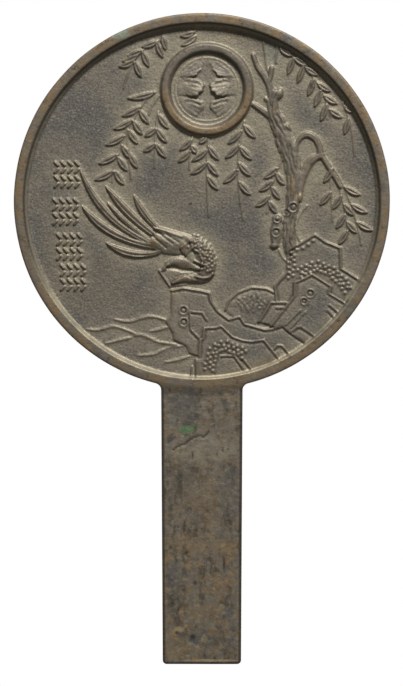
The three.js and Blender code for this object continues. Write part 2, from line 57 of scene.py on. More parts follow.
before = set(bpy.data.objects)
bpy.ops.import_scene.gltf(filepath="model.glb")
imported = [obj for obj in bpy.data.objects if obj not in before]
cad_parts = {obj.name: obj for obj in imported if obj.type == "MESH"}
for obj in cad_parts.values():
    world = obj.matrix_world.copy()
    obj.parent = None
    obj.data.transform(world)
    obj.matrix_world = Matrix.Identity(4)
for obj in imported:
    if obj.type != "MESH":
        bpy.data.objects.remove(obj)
CAD_LOW, CAD_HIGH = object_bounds()
MM = 0.001

# Willow twigs: top, bend and tip, then for the left and the right side the leaves' length, their direction
# in degrees and the shares of the twig where they stand
TWIGS = [
    ((-17.5, 33), (-27, 20), (-28.6, 6),
     ((7.4, -154, (0.1, 0.26, 0.45, 0.67, 0.86)), (5.8, -56, (0.14, 0.27, 0.38, 0.56, 0.7, 0.86)))),
    ((-23.8, 23), (-23.6, 14), (-22.5, 7), ((6.2, -61, (0.42,)),)),
    ((-13.9, 28.5), (-15, 24), (-15, 10.5), ((4.9, -144, (0.4, 0.66)), (6.1, -54, (0.06, 0.4, 0.66)))),
    ((-12.5, 51.6), (-21.5, 50), (-25, 36),
     ((5.6, -160, (0.1, 0.4, 0.52, 0.62)), (5.9, -67, (0.12, 0.42, 0.62)))),
    ((-3, 20.5), (-3.8, 15), (-4, 10), ((5.7, -138, (0.05, 0.4)), (3.2, -57, (0.24,)))),
    ((2.2, 20.3), (1, 10), (2.2, -5), ((6.8, -144, (0.17, 0.35)), (6.1, -52, (0.12, 0.34, 0.52)))),
    ((13.6, 25.6), (9.8, 12), (13.3, -6),
     ((6.8, -137, (0.1, 0.26, 0.52)), (6.1, -48, (0.04, 0.28, 0.45, 0.64)))),
    ((26, 14), (22.2, 8), (20.8, -4), ((6, -143, (0.24, 0.49, 0.74)), (5, -56, (0.34, 0.6, 0.82)))),
    ((23, 50), (37.5, 43), (41.2, 27),
     ((6.3, -110, (0.24, 0.38, 0.56, 0.7, 0.86)), (5.4, -32, (0.06, 0.24, 0.4, 0.62, 0.77, 0.92)))),
    ((45, 31.5), (48.2, 25), (48.8, 14.5), ((5.7, -105, (0.34,)), (3.8, -34, (0.08,)))),
    ((38.5, 15), (47.5, 5.5), (51, -14), ((6, -122, (0.2,)), (6.2, -27, (0.44, 0.63, 0.8)))),
    ((41, 9.5), (41.4, 1), (41.8, -6.5), ((6, -130, (0.38,)),)),
    ((43.2, 7.5), (45.4, 0), (46.8, -10.4), ((5.8, -123, (0.34, 0.68, 0.94)), (5.2, -49, (0.5, 0.8)))),
]
LEAF_WIDTH, LEAF_RISE = 2.05, 0.75
# Leaves on no twig: base, direction in degrees and length
LOOSE_LEAVES = [
    (-14.5, 35, 192, 10), (-12.6, 53, 283, 5), (-1.6, 53, 213, 6.3), (1.6, 20.8, 222, 3.6),
    (-2, 54.2, 196, 5.4),
]
# Stems without leaves: top, bend and tip
FINE_STEMS = [
    ((-13.4, 34), (-16.2, 31), (-17, 27.5)),
    ((33.6, -1.4), (27.6, -7.6), (31.9, -13.4)),
    ((24.6, -15.4), (25.2, -17.5), (27, -19.2)),
    ((22.2, 38), (20.3, 43), (19.8, 51)),
    ((23.6, 44.3), (23.8, 47), (24.1, 49.6)),
]

# Trunk and branches: x, y and width
TRUNK = [
    (28.3, -15.5, 3.8), (27.9, -11.5, 4.2), (28, -7, 3.4), (28.8, -2, 4), (29.2, 3.6, 4), (29.3, 9, 4.8),
    (28.2, 14.5, 5.8), (26.5, 19.4, 5.6), (24.4, 24.4, 4.8), (22.8, 28.4, 3.9), (22.7, 32, 3.3),
    (23.6, 34.6, 2.4),
]
BRANCHES = [
    [(22.6, 31, 2.8), (22, 35.4, 2.4), (20.4, 39.2, 2), (17.8, 43, 1.7), (16.4, 46.4, 1.3)],
    [(21.4, 38, 1.2), (22, 40.4, 1.7), (22.3, 42.6, 1.2)],
    [(23.8, 25.8, 2.8), (20.2, 28.4, 2), (15.2, 31.8, 1.3)],
    [(30.2, 15.2, 0.9), (30.6, 18.8, 1.4), (33.2, 21.3, 1.9), (36.2, 20, 2.1), (37.8, 16.6, 2),
     (37.6, 14.2, 1.8)],
    [(38.4, 14.8, 1.7), (35, 13, 2.9), (32.8, 9, 2.5), (31.7, 4.8, 1.9), (31.1, 0.4, 1.6)],
    [(38, 15, 1.7), (41, 10, 1.4), (44.2, 4.4, 1)],
    [(23.7, -6.2, 2.2), (23.8, -9.4, 4), (23.4, -14, 2.2)],
]

# Rocks: level in layers, how many of the first points carry a raised lip, outline
ROCK_LAYER = 0.4
LIP_WIDTH, LIP_RISE = 0.75, 0.26
ROCKS = [
    (0.7, 6, [(7.5, -34.8), (8.6, -31.8), (11.6, -29.2), (16, -27.6), (20.6, -28), (23.4, -29.4),
              (23.4, -32), (17, -39.4), (12, -38.4)]),
    (1.0, 11, [(23.8, -31.8), (23.2, -27.2), (27.4, -22.6), (27.4, -15.9), (31.6, -13.4), (36.1, -10.7),
               (39.6, -13.2), (44.3, -15), (44.6, -21.6), (50.6, -25.4), (52.5, -27), (44, -37), (26, -37)]),
    (1.4, 3, [(18.2, -38.6), (22, -32.4), (27.6, -32.4), (22.4, -39.6)]),
    (1.9, 8, [(22, -39.8), (29.6, -30.2), (29.7, -26), (32.6, -24.8), (35.2, -23.4), (41.2, -27.2),
              (40.7, -29.6), (46.8, -33.2), (44, -36.9), (36.4, -44.1), (28.3, -41.7)]),
    (1.2, 8, [(8.7, -37.8), (12.1, -36.9), (13.7, -39.3), (20, -41.1), (22.4, -40.9), (25.9, -39.7),
              (28.2, -41.9), (33.8, -45.6), (26, -50.4), (8, -45), (5.4, -39.8)]),
    (1.7, 4, [(28.3, -41.8), (30.2, -40.3), (31.7, -40.1), (36.6, -43.5), (34.2, -45.6)]),
    (1.3, 7, [(-9.7, -28.6), (-6, -27.8), (0, -28.8), (2.4, -29.4), (2.9, -32), (5, -35.1), (8.6, -37.9),
              (5.8, -39.9), (0.6, -40.5), (0.2, -44), (-0.8, -49.4), (-4, -48.6), (-4.9, -46.2), (-9, -44.2),
              (-9.2, -42.2), (-11.6, -38.3), (-9.8, -36.2)]),
    (0.9, 3, [(-11.6, -21.8), (-13.6, -22.3), (-10.2, -27.2), (-5, -27), (-3, -22.6)]),
    (1.8, 12, [(-0.9, -49.6), (-0.5, -44.4), (0.4, -43.9), (0.7, -40.6), (4.6, -40.4), (6.1, -39.8),
               (9.9, -43.4), (13, -44.5), (16, -44.9), (19.8, -44.3), (22.2, -47.3), (24.6, -50.4),
               (12, -56), (-2.2, -57.2), (-2.2, -50.4)]),
    (1.5, 4, [(22.5, -47.5), (24.1, -46), (25.7, -46.2), (28.6, -49.6), (25.2, -51.4)]),
    (0.8, 2, [(-3.4, -56.8), (-3.2, -52.8), (-1.8, -50.2), (-1.6, -57.1)]),
]
ROCK_LINES = [
    [(1.6, -38), (0.2, -35.7), (-3.8, -35.3), (-3.6, -41), (-1, -43.6)],
    [(4.4, -54.6), (5.8, -49.4), (10.4, -49.4), (13.2, -53.4)],
    [(13, -50.2), (15.8, -53.6)],
    [(31.6, -34.8), (26.8, -39.6)],
    [(33, -35.4), (28.6, -40.4)],
    [(40.8, -33.1), (44.2, -36)],
    [(40.4, -35), (42.6, -37.2)],
    [(23.8, -34), (26.2, -34)],
]
# Small rings on the rocks: centre and radius
SMALL_RINGS = [(-5.9, -34.9, 1.35), (-5.8, -38.7, 1.35), (34.6, -29.5, 1.35), (32.7, -32, 1.1)]
# Bands of beads: rows, pitch, line
BEAD_BANDS = [
    (3, 1.5, [(31.2, -23.2), (36.4, -20.8), (42.2, -23.2), (46.8, -28.4)]),
    (3, 1.5, [(2.2, -54), (3.4, -48.6), (6.2, -46.2), (10.4, -47.2), (13.4, -49)]),
    (2, 1.6, [(29.2, -16.6), (28.7, -20), (28.4, -24.6)]),
    (1, 1.6, [(28.6, -16.6), (32, -14.9), (35.6, -12.9)]),
]
WAVES = [
    [(-28, -37.6), (-23, -38.4), (-16.5, -36.8), (-10.8, -38)],
    [(-37, -40.7), (-33, -41.1), (-28.4, -40), (-25, -40.8), (-21.4, -42.1)],
    [(-30.6, -45.3), (-24, -43.8), (-19.5, -42.7), (-14, -44.9), (-8, -45.6)],
    [(-16.4, -41.4), (-13.4, -41), (-10.4, -39.8)],
    [(-20.4, -49.2), (-15, -48.8), (-11, -46.8), (-6, -46)],
    [(-11.6, -51.3), (-7, -50.6), (-3.8, -49.2)],
]

# The bird: tail feathers (root, bend, tip, width), body mounds (share of the rise, then x, y, width)
FEATHERS = [
    ((-15.5, -14), (-33.5, -6), (-39.2, 11), 2.4),
    ((-15, -13.6), (-25.5, -7), (-30.4, 0), 1.5),
    ((-14, -11.6), (-24, -4.5), (-31, 5.2), 2.9),
    ((-13.4, -9.4), (-19.5, -4), (-21.8, 2.2), 2.3),
    ((-15.5, -14.6), (-31.5, -11.5), (-38.6, -1), 2.8),
    ((-14, -16.4), (-23, -18.8), (-31, -13), 2.6),
]
BODY_MOUNDS = [
    (0.95, [(-17, -13.6, 2.4), (-14.6, -13.2, 6), (-11, -13.5, 7), (-7, -14.2, 6.4), (-4.6, -15.2, 4.2)]),
    (0.75, [(-15.4, -8.4, 0.8), (-13, -9.4, 2.2), (-9, -10.8, 2.8), (-5.4, -11.8, 2.8), (-2.6, -12.6, 2.2)]),
    (1.05, [(-4, -12.6, 2.4), (-1, -14.8, 5.4), (0.7, -17.6, 6.8), (1.3, -20.8, 6.4), (1, -23.2, 3.6)]),
    (0.8, [(-12.4, -21.6, 0.8), (-9.8, -19.8, 2.4), (-6.4, -19.6, 3.8), (-3.2, -20.4, 3.6),
           (-0.6, -22, 2.2)]),
    (0.95, [(-9.4, -26.2, 1), (-6, -24.8, 2.6), (-2, -24.8, 2.8), (1.4, -24.8, 2.2), (3.4, -23.4, 1)]),
    (0.8, [(-5, -16, 2.4), (-3.4, -17.6, 4), (-1.8, -20, 4.4), (-0.4, -22.4, 2.4)]),
]
# Lines on the bird: rise (a groove where negative), width, points
WING_LINES = [
    (-0.5, 0.9, [(-15.8, -11), (-13.9, -12.9), (-11.4, -15)]),
    (-0.35, 0.8, [(-13.8, -10), (-11.8, -11.8), (-9.4, -13.6)]),
    (-0.3, 0.8, [(-11.4, -10.4), (-9.4, -11.9), (-7.4, -13.2)]),
    (0.25, 0.8, [(-15.2, -8.7), (-12.4, -9.2), (-8.8, -10.6), (-6.2, -11.5)]),
    (-0.55, 1.0, [(-7.1, -15.6), (-6.4, -16.9), (-5.4, -17.7)]),
    (0.35, 0.9, [(-5.4, -17.4), (-4.2, -16), (-3.1, -14.6)]),
    (0.3, 1.1, [(-6.6, -15), (-5.2, -13.6), (-3.4, -12.6)]),
    (0.45, 0.9, [(-2.4, -19.1), (-0.8, -19.8), (0.8, -20.4)]),
    (-0.4, 0.8, [(-2.6, -19.9), (-1, -20.7), (0.6, -21.3)]),
    (-0.7, 1.1, [(-11.2, -21.2), (-8.4, -21.3), (-6.2, -22.2), (-3.2, -22.1), (-1, -22.4)]),
    (0.3, 0.9, [(-11.6, -19.5), (-9.2, -18.3), (-7, -17.7)]),
    (0.4, 0.9, [(-3.2, -22.9), (-1.6, -24), (0.6, -24.5), (2.6, -24.1), (3.8, -22.4)]),
    (-0.3, 0.8, [(-2.6, -24.6), (0.4, -25.5), (3, -25)]),
    (-0.3, 0.7, [(-8.2, -24.2), (-5.4, -23.4), (-3.6, -24.4)]),
]
# Beads on the breast: rows, pitch, line
BREAST_BEADS = (5, 1.22, [(-3.4, -12.8), (-0.2, -14.4), (1.7, -17), (2.3, -20), (1.6, -22.4)])

# The tree's knots: place, half-axes, turn in degrees and rise. Swirls: place and radius
KNOTS = [
    (24.6, 34.3, 2, 1.45, 70, 1.15), (22.2, 42.1, 1.2, 0.9, 60, 0.8), (16.5, 46.4, 1.1, 0.8, 120, 0.8),
    (20.6, 32.5, 1, 0.7, 130, 0.7), (27.5, 23.6, 1.5, 0.7, 125, 1.1), (31.2, 1.4, 1.7, 1, 80, 1.1),
    (23.2, -14.2, 1.6, 1.1, 10, 0.95), (24.1, -5.6, 1.6, 1.4, 0, 1), (26.6, -6.5, 1.2, 0.8, 60, 0.9),
]
SWIRLS = [(29.2, -2, 1), (26.9, -3.6, 0.7), (24.1, -5.6, 0.85), (23.7, -10, 0.9)]
# The mossy patch on the rocks: centre, radius and number of bumps
MOSS = (15.6, -32.6, 3.6, 26)

# The roundel: centre, its ring's section as distances from the centre and heights, then the radius of the
# fine circle and how far out its leaves reach
ROUNDEL = (1.6, 35.7)
RING_SECTION = (
    (10.8, 11.3, 11.75, 12.1, 12.45, 12.9, 14.2, 14.5, 14.85, 15.1),
    (0, 0.08, 0.4, 1.05, 1.42, 1.5, 1.5, 1.3, 0.6, 0),
)
FINE_CIRCLE = 10.15
SPRAY_REACH = 9.5
# Leaves of the roundel's right half: inner outline, first and last degree of the outer arc, where the veins
# spring from, and the fold along the upper edge. The left half mirrors them.
SPRAYS = [
    ([(0.4, 9.5), (0.7, 8.4), (1.1, 7.7), (1.7, 6.3), (2.6, 5.5), (3, 4.6), (4.2, 4), (5.6, 3.9),
      (8.6, 3.9)],
     (26, 84), (8.4, 4.4), []),
    ([(8.8, 4), (5.4, 3.6), (2.7, 3.1), (1.1, 2.3), (0.8, 1), (1.3, -0.6), (2.3, -1.3), (3, -2.3),
      (4.3, -2.5), (5.6, -2.2), (8.9, -1.8)], (-12, 20), (9.4, 1.4), [(6.8, 2.4), (4.4, 2.3), (2.3, 1.5)]),
    ([(8.8, -2.2), (5.6, -2.8), (3, -3.3), (1.3, -3.9), (0.8, -5.1), (1.2, -6.6), (2.1, -7.1), (2.6, -7.9),
      (3.3, -8.7)], (-68, -16), (8.4, -4), [(6.2, -3.9), (4.2, -4.1), (2.3, -5)]),
]

# The handle's cracks: depth, width, points. Nicks: place, half-axes and turn in degrees
CRACKS = [
    (0.3, 0.8, [(-9.2, -79.6), (-7.4, -78.2), (-5.2, -77.4), (-3.4, -76), (-1, -75), (0.8, -75.2),
                (2.2, -73.6)]),
    (0.18, 0.7, [(-11.2, -77.4), (-9.6, -76.4), (-8.6, -75.4)]),
]
NICKS = [
    (-3, -81.2, 1.3, 0.35, 90), (4.8, -80.8, 0.6, 0.35, 80), (-8, -70.3, 0.9, 0.4, 40),
    (6.6, -79.6, 0.9, 0.3, 90), (-7.6, -104, 0.5, 0.4, 0), (-5, -112.4, 0.7, 0.5, 60), (7, -116, 3, 0.4, 90),
    (-10, -110.6, 0.7, 0.5, 0), (6.2, -128, 0.6, 0.5, 0), (-8, -137.8, 0.7, 0.5, 20),
    (-3, -139.5, 1.2, 0.9, 70), (-2.2, -122, 0.6, 0.8, 0),
]

# Blocks of short slanting strokes down the left side: centres, strokes each way and their pitches
STROKE_BLOCKS = [(-43.2, 8.5), (-43.6, -3.4), (-42.4, -14.6), (-41.2, -24.4)]
STROKE_ROWS, STROKES_IN_ROW = 4, 4
ROW_PITCH, STROKE_PITCH = 2.3, 2.2

# The rim: how wide its top is, then its wall with the ledge as distances from the wall's top and shares of
# the climb from the field
RIM_TOP_WIDTH = 2.75
RIM_WALL = (
    (-2.0, -1.6, -1.35, -1.05, -0.75, -0.35, -0.1, 0.15),
    (0, 0.08, 0.28, 0.36, 0.62, 0.93, 0.985, 1),
)

# The handle: how far beside it its fillets start on the disc, how far down it the rows of faces are curved
# like the disc, and the radius of its end corners
FILLET_REACH = 2.2 * MM
CURVED_ROWS = 9 * MM
END_CORNER = 0.8 * MM
# The fall layer of the casting's edge: metres below the top where it rounds over, then WALL plus the share
# of the wall that is passed, then FOOT plus metres below the edge's radius, where it curves in underneath
WALL, FOOT = 10, 20

# Coloured patches: centre, half-axes, softness of the edge, colour and strength
HANDLE_PATCHES = [
    (1, -79, 10, 5, 0.9, "dust", 0.5), (-7.6, -66, 3.6, 5, 0.8, "slate", 0.6),
    (1.5, -66, 5, 6, 0.9, "soot_and_shade", 0.15), (-5.5, -87, 4, 4, 0.9, "soot_and_shade", 0.25),
    (9, -92, 3.4, 9, 0.9, "slate", 0.45), (2, -97, 2.6, 9, 0.9, "brown", 0.3),
    (-5, -109.5, 5.5, 3, 0.9, "brown", 0.5), (8, -111, 3.5, 3.4, 0.9, "brown", 0.45),
    (-8.6, -120, 3.6, 5, 0.8, "slate", 0.6), (-7, -128, 3.6, 5, 0.9, "soot_and_shade", 0.25),
    (6.5, -123, 3.4, 2.4, 0.9, "brown", 0.5), (3.5, -131, 2.6, 2.4, 0.9, "brown", 0.5),
    (-7, -136.6, 1.5, 1, 0.6, "worn", 0.7), (-7.6, -143.4, 3.6, 2, 0.9, "brown", 0.6),
    (-2.6, -140.6, 2, 2.2, 0.6, "slate", 0.8), (0.8, -139.8, 0.9, 1.2, 0.6, "worn", 0.5),
    (5, -139.6, 3.6, 3.2, 0.9, "soot_and_shade", 0.25), (9.6, -139, 1.7, 6, 0.8, "slate", 0.6),
    (-12.0, -128, 0.6, 20, 0.6, "brown", 0.7), (3, -146.6, 8, 0.4, 0.6, "worn", 0.8),
    (-5, -73, 2.5, 1.3, 0.3, "verdigris", 0.75), (-2.4, -71.9, 1.4, 0.8, 0.4, "verdigris", 0.5),
    (-8.4, -70.2, 0.9, 0.7, 0.5, "bloom", 0.5),
]
SKIN_PATCHES = [
    (-15, -13, 1.7, 2.2, 0.8, "brown", 0.8), (-5.6, -14.9, 1.2, 1.3, 0.6, "brown", 0.7),
    (-14.6, -14.4, 3.2, 2.4, 0.8, "soot_and_shade", 0.35), (-8, -12.8, 5, 1.2, 0.8, "soot_and_shade", 0.2),
    (-6, -20.4, 5, 1.8, 0.8, "soot_and_shade", 0.4), (-5.4, -20.8, 3, 0.8, 0.8, "brown", 0.6),
    (-3, -25.2, 5, 1.6, 0.8, "soot_and_shade", 0.3), (-5.6, -25.6, 1.8, 1.2, 0.8, "brown", 0.4),
    (-8.6, -29.6, 1.6, 1.6, 0.8, "brown", 0.6), (28.9, 5, 1, 4, 0.8, "brown", 0.7),
    (31.2, 1.4, 1.2, 1.6, 0.6, "worn", 0.6), (30, -54, 40, 9, 0.9, "brown", 0.4),
    (-26.6, 53.4, 3.6, 1.6, 0.8, "bloom", 0.8), (4, 26, 26, 30, 0.3, "slate", 0.25),
]
GROUND_PATCHES = [
    (-25, 53.4, 2.6, 1.2, 0.6, "bloom", 0.7), (24, 45.5, 5.5, 5, 0.9, "bloom", 0.35),
    (46.5, 29.5, 1.4, 1.2, 0.6, "bloom", 0.5), (-58.2, -4, 1, 2, 0.6, "bloom", 0.4),
    (-10, 14, 8, 6, 0.9, "slate", 0.5), (34, 27, 6, 5, 0.9, "slate", 0.45),
    (14, -2, 8, 10, 0.9, "slate", 0.4), (16, 4, 5, 5, 0.9, "slate", 0.3),
    (-32, -26, 9, 8, 0.9, "umber", 0.5), (-44, -20, 6, 14, 0.9, "umber", 0.5),
    (-38, 20, 8, 9, 0.9, "slate", 0.35), (-6, 6, 7, 5, 0.9, "umber", 0.4),
    (40, 6, 7, 8, 0.9, "umber", 0.45), (-14, -46, 10, 6, 0.9, "umber", 0.35),
    # The brown, soot and umber patches just below the rim's far side are partly stains and partly painted
    # shade that deepens the rim's cast shadow.
    (7, 53.2, 10, 2.4, 0.9, "brown", 0.45), (3, 53.4, 3, 1.6, 0.9, "soot_and_shade", 0.35),
    (12, 52.4, 2.4, 1.6, 0.9, "soot_and_shade", 0.25), (17, 49.6, 4, 3, 0.9, "umber", 0.7),
    (-14, 51.6, 4, 1.8, 0.9, "soot_and_shade", 0.2), (30, 45.6, 3, 2.2, 0.9, "soot_and_shade", 0.2),
    (2, -38, 9, 7, 0.9, "umber", 0.6), (14, -47, 10, 5, 0.9, "slate", 0.5),
    (34, -24, 7, 8, 0.9, "umber", 0.6), (36, -30, 5, 6, 0.9, "slate", 0.5),
    (24, -34, 9, 6, 0.9, "umber", 0.5), (-22, -40, 12, 5, 0.9, "slate", 0.3),
    # The slate and soot patches in the roundel darken the upper part of its leaves: partly dark marks,
    # partly painted shade where a leaf lies in the shadow of the one above it.
    (6.6, 42.4, 2.6, 1.2, 0.8, "slate", 0.8), (-3.4, 42.4, 2.6, 1.2, 0.8, "slate", 0.8),
    (6.4, 38.4, 3.6, 1.3, 0.8, "soot_and_shade", 0.4), (-3.2, 38.4, 3.6, 1.3, 0.8, "soot_and_shade", 0.4),
    (6.2, 32.2, 3.4, 1.2, 0.8, "soot_and_shade", 0.4), (-3, 32.2, 3.4, 1.2, 0.8, "soot_and_shade", 0.4),
]


def linear(red, green, blue):
    """An sRGB colour of 0 to 255 as the linear values that Blender uses."""
    shares = [value / 255 for value in (red, green, blue)]
    return tuple(s / 12.92 if s <= 0.04045 else ((s + 0.055) / 1.055) ** 2.4 for s in shares)


def metres(name, description, default):
    """A length that the sidebar shows in the scene's units."""
    return bpy.props.FloatProperty(name=name, description=description, default=default, unit="LENGTH")


def finish_colour(name, description, red, green, blue):
    """A colour of the finish, given as sRGB values of 0 to 255."""
    return bpy.props.FloatVectorProperty(
        name=name, description=description, subtype="COLOR", size=3, default=linear(red, green, blue)
    )


class MirrorSizes(bpy.types.PropertyGroup):
    """Sizes of the casting. Depths are above the ground that the mirror lies on."""

    disc_diameter: metres("Disc diameter", "Across the round disc", CAD_HIGH.x - CAD_LOW.x)
    handle_length: metres("Handle length", "From the disc to the handle's end", -CAD_LOW.y - CAD_HIGH.y)
    handle_root_width: metres("Handle root width", "Across the handle next to the disc", 26.0 * MM)
    handle_end_width: metres("Handle end width", "Across the handle at its end", 25.0 * MM)
    handle_thickness: metres("Handle thickness", "From the ground to the handle's top", 3.8 * MM)
    rim_height: metres("Rim height", "From the ground to the rim's top", CAD_HIGH.z)
    field_thickness: metres("Field thickness", "From the ground to the field inside the rim", 2.0 * MM)
    edge_round: metres("Edge round", "Radius of the outer edges", 0.45 * MM)
    relief: bpy.props.FloatProperty(
        name="Relief", description="Strength of the picture's relief", default=1.0, min=0.0, max=2.0,
        subtype="FACTOR",
    )
    rings: bpy.props.IntProperty(
        name="Rings", description="Rings of faces from the disc's centre to its edge", default=250,
        min=20, max=400,
    )
    most_triangles: bpy.props.IntProperty(
        name="Most triangles", description="The casting is thinned to this number", default=192000, min=5000
    )


class BronzeColours(bpy.types.PropertyGroup):
    """Colours of the bronze's finish."""

    tarnish: finish_colour("Tarnish", "Olive-grey skin of the ground", 121, 113, 101)
    dust: finish_colour("Dust", "Pale dust that sits beside the relief", 150, 141, 121)
    slate: finish_colour("Slate", "Blue-grey tarnish in patches", 96, 94, 90)
    umber: finish_colour("Umber", "Dark smooth skin of what is raised", 117, 108, 94)
    brown: finish_colour("Brown", "Browner tarnish in patches", 130, 110, 82)
    worn: finish_colour("Worn metal", "Bronze that handling has laid bare", 168, 150, 118)
    # Soot also paints shade into the relief's creases, the rim wall's upper part and the handle's edges.
    soot_and_shade: finish_colour("Soot", "Dark dirt in pits", 48, 42, 36)
    verdigris: finish_colour("Verdigris", "Green corrosion spots", 96, 128, 88)
    bloom: finish_colour("Bloom", "Pale green-grey bloom", 142, 150, 130)
    # Polish is also painted over the rim's lit near wall as a highlight.
    polish_and_highlight: finish_colour("Polish", "Dulled metal of the mirror face", 196, 186, 158)


class MirrorStudio(bpy.types.PropertyGroup):
    """Floor, lights and camera."""

    floor: bpy.props.FloatVectorProperty(
        name="Floor", description="Colour that the floor glows in", default=(1.0, 1.0, 1.0), size=3,
        subtype="COLOR",
    )
    key_power: bpy.props.FloatProperty(
        name="Key light", description="Power of the light from above the disc", default=36.0, min=0.0,
        unit="POWER",
    )
    key_height: bpy.props.FloatProperty(
        name="Key height", description="How high the key light stands over the floor, as an angle",
        default=math.radians(37), subtype="ANGLE",
    )
    key_turn: bpy.props.FloatProperty(
        name="Key turn", description="How far the key light stands to the right of straight above the disc",
        default=math.radians(15), subtype="ANGLE",
    )
    surround: bpy.props.FloatProperty(
        name="Surround", description="Brightness of the room round the mirror", default=0.14, min=0.0,
        subtype="FACTOR",
    )
    camera_distance: bpy.props.FloatProperty(
        name="Camera distance", description="From the mirror to the camera", default=1.4, unit="LENGTH"
    )
    view_height: bpy.props.FloatProperty(
        name="View height", description="What the picture's long side covers", default=0.2195, unit="LENGTH"
    )
    view_centre: bpy.props.FloatVectorProperty(
        name="View centre", description="Point that the camera looks at", default=(-0.00012, -0.04531),
        size=2, subtype="TRANSLATION",
    )


def smooth_step(low, high, values):
    """0 below low, 1 above high, and a smooth rise between them."""
    share = np.clip((values - low) / (high - low), 0.0, 1.0)
    return share * share * (3 - 2 * share)


def bell(values, middle, width):
    """1 at the middle, falling off smoothly on both sides of it."""
    return np.exp(-(((values - middle) / width) ** 2))


def curve_point(start, bend, end, share):
    """The point of a curve from start towards the bend and on to the end, at a share of it."""
    start, bend, end = (np.array(point, float) for point in (start, bend, end))
    return (1 - share) ** 2 * start + 2 * share * (1 - share) * bend + share**2 * end


def along_curve(start, bend, end, count):
    """Points all along such a curve."""
    return curve_point(start, bend, end, np.linspace(0, 1, count)[:, None])


def rounded_line(points, count):
    """Points at even steps on a smooth line through the given ones, with further values carried along."""
    points = np.array(points, float)
    padded = np.vstack([2 * points[0] - points[1], points, 2 * points[-1] - points[-2]])
    made = []
    pieces = len(points) - 1
    shares = np.linspace(0, 1, 9)
    for i in range(pieces):
        a, b, c, d = padded[i : i + 4]
        squared, cubed = 2 * a - 5 * b + 4 * c - d, 3 * b - a - 3 * c + d
        for t in shares if i == pieces - 1 else shares[:-1]:
            made.append(0.5 * (2 * b + (c - a) * t + squared * t**2 + cubed * t**3))
    made = np.array(made)
    travelled = np.concatenate([[0], np.cumsum(np.hypot(*np.diff(made[:, :2], axis=0).T))])
    even = np.linspace(0, travelled[-1], count)
    return np.stack([np.interp(even, travelled, made[:, k]) for k in range(made.shape[1])], axis=1)


